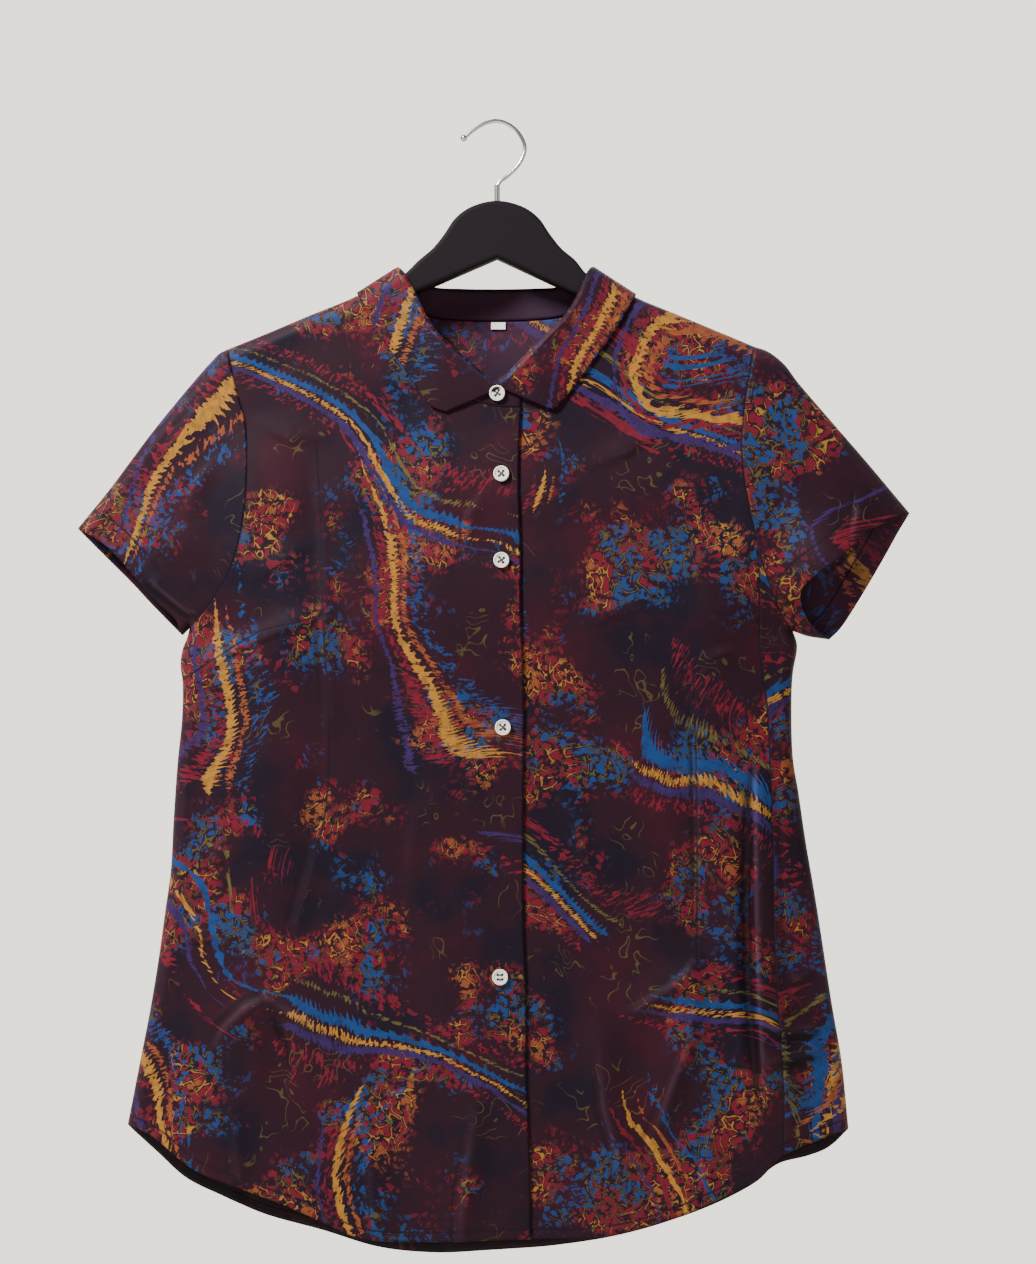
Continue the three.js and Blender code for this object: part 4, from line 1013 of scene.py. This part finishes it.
fall = Cloth("shirt_collar_fall", shift=(-172, 663), turn=31)
for side, roll, edge, moved, grown in (
    ("front", rollFrontRight, fallFrontRight, overStep, nothing),
    ("front", rollFrontLeft, fallFrontLeft, nothing, coverStep),
    ("back", rollBackRight, fallBackRight, nothing, nothing),
    ("back", rollBackLeft, fallBackLeft, nothing, nothing),
):
    start = curve(roll, neckShares * (collar["rollUsed"] if side == "front" else 1))
    end = curve(edge, neckShares)
    t = np.linspace(0, 1, counts["fall"])[None, :, None]
    grid = start[:, None] * (1 - t) + end[:, None] * t
    x = grid[..., 0]
    points, normals, flat = lay(side, grid, (topRow,))
    lift = collar["lift"] + grown(x)
    height = lift + (collar["edgeLift"] - collar["lift"]) * t[..., 0] + moved(x)
    spread = points + normals * height[..., None]
    # the roll: from straight up at the stand's top round to the fall's own direction
    n = normals[:, 0]
    up = np.stack([start[:, 0] - end[:, 0], 0 * start[:, 0], start[:, 1] - end[:, 1]], axis=-1)
    up /= np.linalg.norm(up, axis=-1, keepdims=True)
    up -= n * (up * n).sum(-1, keepdims=True)
    up /= np.linalg.norm(up, axis=-1, keepdims=True)
    base = points[:, 0] + n * moved(start[:, 0])[:, None]
    reach = (collar["lift"] + grown(start[:, 0]))[:, None]
    rise = collar["rollGap"] + collar["solidWall"] / 2 - reach
    angles = np.radians(np.arange(90, 0, -collar["rollStep"]))
    rolled = [base + up * (rise + reach * math.sin(a)) + n * reach * math.cos(a) for a in angles]
    rolledNormals = [up * math.sin(a) + n * math.cos(a) for a in angles]
    printStep = (end - start) / collar["rollPrint"]
    rolledFlat = [start - printStep * (len(angles) - k) for k in range(len(angles))]
    points = np.concatenate([np.stack(rolled, axis=1), spread[:, 2:]], axis=1)
    normals = np.concatenate([np.stack(rolledNormals, axis=1), normals[:, 2:]], axis=1)
    flat = np.concatenate([np.stack(rolledFlat, axis=1), flat[:, 2:]], axis=1)
    fall.add(points, normals, flat)
fallPiece = fall.make(shell["fall"], (cloth,))
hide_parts("collar_fall")
print("collar made")


def plate(outlines, depth, bevel, offset=0.0):
    # A flat solid with rounded edges between closed x, y lines, its middle at z 0
    data = bpy.data.curves.new("plate", "CURVE")
    data.dimensions = "2D"
    data.fill_mode = "BOTH"
    data.extrude = depth / 2 - bevel
    data.bevel_depth = bevel
    data.bevel_resolution = 3
    data.offset = offset
    for line in outlines:
        spline = data.splines.new("POLY")
        spline.points.add(len(line) - 1)
        spline.points.foreach_set("co", np.c_[line, np.zeros(len(line)), np.ones(len(line))].ravel())
        spline.use_cyclic_u = True
    return curveMesh(data)


def wire(points, radii):
    # A round rod along the points, with its own radius at each
    data = bpy.data.curves.new("wire", "CURVE")
    data.dimensions = "3D"
    data.bevel_depth = 1
    data.bevel_resolution = 6
    data.use_fill_caps = True
    spline = data.splines.new("POLY")
    spline.points.add(len(points) - 1)
    spline.points.foreach_set("co", np.c_[points, np.ones(len(points))].ravel())
    spline.points.foreach_set("radius", np.zeros(len(points)) + radii)
    return curveMesh(data)


def curveMesh(data):
    # A curve as a mesh; the curve itself goes
    holder = bpy.data.objects.new("holder", data)
    mesh = bpy.data.meshes.new_from_object(holder)
    bpy.data.objects.remove(holder)
    bpy.data.curves.remove(data)
    return mesh


def joined(name, parts, material, node=None):
    # One piece from meshes, each with the matrix that puts it in place
    whole = bmesh.new()
    for mesh, matrix in parts:
        copy = mesh.copy()
        copy.transform(Matrix.Scale(mm, 4) @ matrix)
        whole.from_mesh(copy)
        bpy.data.meshes.remove(copy)
    bmesh.ops.recalc_face_normals(whole, faces=whole.faces)
    mesh = bpy.data.meshes.new(name)
    whole.to_mesh(mesh)
    whole.free()
    mesh.materials.clear()
    mesh.materials.append(material)
    mesh.polygons.foreach_set("use_smooth", np.ones(len(mesh.polygons), bool))
    mesh.set_sharp_from_angle(angle=math.radians(40))
    piece = bpy.data.objects.new(name, mesh)
    scene.collection.objects.link(piece)
    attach(piece, "root")
    if node:
        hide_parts(node)
    return piece


def circle(radius, count, x=0.0, y=0.0):
    turn = np.linspace(0, 2 * math.pi, count, endpoint=False)
    return np.stack([x + radius * np.cos(turn), y + radius * np.sin(turn)], axis=1)


# Hanger
hanger = {
    "thickness": 14,
    "edge": 3,
    "armDrop": 5.2,
    "reachRight": 186,
    "reachLeft": 178,
    "top": [(0, -57), (19, -61.5), (30, -69.5), (38, -81), (46, -91), (56, -99.5)],
    "low": [
        (176, -173), (136, -160), (98, -143.5), (58, -125), (0, -98), (-60, -124), (-100, -144), (-140, -162),
        (-184, -176),
    ],
    "hook": [
        (-24, -11), (-16, -4.5), (-8, 0), (0, 1.5), (9, -1.5), (16, -8), (20, -18), (16.5, -28.5), (9, -37),
        (2, -42.5), (-0.5, -46.5),
    ],
    "wire": 1.5,
    "ball": 2.55,
    "ballEnd": 0.05,
    "shank": 2.2,
    "shankFrom": -45,
    "shankTo": -70.7,
}


def belowFold(line, reach):
    # Points armDrop below a shoulder's line, as far out as reach
    points = curve(line, evenly(8))
    e = np.gradient(points, axis=0)
    down = np.stack([e[:, 1], -e[:, 0]], axis=1) / np.linalg.norm(e, axis=1)[:, None]
    down *= -np.sign(down[:, 1:])
    kept = (np.abs(points[:, 0]) < reach) & (np.arange(9) % 2 == 0)
    return (points + down * hanger["armDrop"])[kept]


topLine = np.vstack([
    belowFold(shoulderRight + standSideRight[1:], hanger["reachRight"]),
    np.array(hanger["top"])[::-1] * (-1, 1),
    hanger["top"][1:],
    belowFold(shoulderLeft + standSideLeft[1:], hanger["reachLeft"])[::-1],
])
outline = np.vstack([curve(topLine, evenly(150)), hanger["low"]])
upright = Matrix.Rotation(math.radians(90), 4, "X")
slab = plate([outline], hanger["thickness"], hanger["edge"], -hanger["edge"])
joined("hanger", [(slab, upright)], blackSatin, "hanger_body")

hookLine = curve(hanger["hook"], evenly(90))
hookLine = np.stack([hookLine[:, 0], 0 * hookLine[:, 0], hookLine[:, 1]], axis=1)
turn = np.linspace(hanger["ballEnd"], math.pi - hanger["ballEnd"], 15)
ballLine = hookLine[0] + np.stack([np.cos(turn), 0 * turn, 0 * turn], axis=1) * hanger["ball"]
shank = np.array([(0, 0, hanger["shankFrom"]), (0, 0, hanger["shankTo"])], float)
still = Matrix.Identity(4)
parts = [
    (wire(hookLine, hanger["wire"]), still),
    (wire(ballLine, np.sin(turn) * hanger["ball"]), still),
    (wire(shank, hanger["shank"]), still),
]
joined("hanger_hook_wire", parts, chrome, "hanger_hook")

# Buttons: x, z, turn of the holes in degrees, and which holes the thread joins
buttons = [
    (0, -194.5, 12, ((0, 2), (1, 3))), (3, -253, 4, ((0, 2), (1, 3))), (3, -315, -9, ((0, 2), (1, 3))),
    (4, -435, 3, ((0, 2), (1, 3))), (2, -615, 1, ((0, 1), (2, 3))),
]
button = {
    "radius": 5.6,
    "rim": 1.15,
    "rimInset": 0.2,
    "rimBevel": 0.45,
    "face": 1.5,
    "faceInset": 0.3,
    "faceBevel": 0.15,
    "edge": 2.2,
    "hole": 0.95,
    "pitch": 1.6,
    "clear": 0.9,
    "thread": 0.5,
    "threadSink": 0.9,
    "threadRise": 1.15,
}
holes = [(1, 1), (-1, 1), (-1, -1), (1, -1)]
holeRadius = button["hole"] + button["faceBevel"]
holeLines = [circle(holeRadius, 16, x * button["pitch"], y * button["pitch"]) for x, y in holes]
faceLine = circle(button["radius"] - button["faceInset"], 48)
disc = plate([faceLine] + holeLines, button["face"], button["faceBevel"])
rimLines = [
    circle(button["radius"] - button["rimBevel"], 48),
    circle(button["radius"] - button["rim"] + button["rimInset"], 48),
]
ring = plate(rimLines, button["edge"], button["rimBevel"])
for number, (x, z, turned, pairs) in enumerate(buttons, 1):
    near = np.array([[(x + i, z + k) for i in (-1, 0, 1)] for k in (-1, 0, 1)], float)
    points, normals, _ = lay("front", near, (), overStep(x))
    n = Vector(normals[1, 1]).normalized()
    facing = n.to_track_quat("Z", "Y").to_matrix().to_4x4()
    spot = asSeen(points[1, 1] + np.array(n) * button["clear"])
    base = Matrix.Translation(Vector(spot)) @ facing @ Matrix.Rotation(math.radians(turned), 4, "Z")
    lifted = [(disc, base @ Matrix.Translation((0, 0, button["face"] / 2)))]
    lifted += [(ring, base @ Matrix.Translation((0, 0, button["edge"] / 2)))]
    joined("shirt_button_" + str(number), lifted, resin, "button_" + str(number))
    threads = []
    for start, end in pairs:
        a, b = [np.array([*holes[k], 0.0]) * button["pitch"] for k in (start, end)]
        share = np.linspace(0, 1, 9)[:, None]
        bow = np.minimum(1, 4 * share * (1 - share) * 1.6)
        rise = button["face"] - button["threadSink"] + button["threadRise"] * bow
        path = a + (b - a) * share + (0, 0, 1) * rise
        threads.append((wire(path, button["thread"]), base))
    joined("button_thread_" + str(number), threads, thread)

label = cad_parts["neck_label"].data
label.materials.clear()
label.materials.append(tape)
print("hanger and buttons made")

# Floor and light
floorMesh = bpy.data.meshes.new("floor")
floorCorners = [(-2, -2.5, -0.95), (2, -2.5, -0.95), (2, 0.3, -0.95), (-2, 0.3, -0.95)]
floorMesh.from_pydata(floorCorners, [], [(0, 1, 2, 3)])
floorMesh.materials.append(mixed("floor", Base_Color=rgb(226, 222, 214), Roughness=0.8))
floor = bpy.data.objects.new("floor", floorMesh)
scene.collection.objects.link(floor)

# A pale room, brighter behind the shirt than before it, so that folds keep their shade
studio = {"colour": rgb(240, 234, 223), "dim": 0.42, "bright": 2.5, "from": -0.1, "to": 0.5}
world = bpy.data.worlds.new("studio")
world.use_nodes = True
room = Paint(world)
direction = room.node("ShaderNodeTexCoord", {}, {}, "Generated")
depth = room.node("ShaderNodeSeparateXYZ", {}, {0: direction}, "Y")
strength = room.step(depth, studio["from"], studio["to"], studio["dim"], studio["bright"])
background = {"Color": studio["colour"], "Strength": strength}
room.node("ShaderNodeOutputWorld", {}, {0: room.node("ShaderNodeBackground", {}, background)})
scene.world = world

for name, place, aim, size, power in (
    ("key", (-1.1, -1.2, 1.1), (0, 0, -0.35), 0.45, 150),
    ("fill", (1.3, -1.4, -0.1), (0, 0, -0.45), 1.2, 6),
    ("rim", (0.2, 1.2, 0.9), (0, 0, -0.3), 0.8, 10),
):
    lamp = bpy.data.lights.new(name, "AREA")
    lamp.size = size
    lamp.energy = power
    light = bpy.data.objects.new(name, lamp)
    light.location = place
    light.rotation_euler = (Vector(aim) - Vector(place)).to_track_quat("-Z", "Y").to_euler()
    scene.collection.objects.link(light)
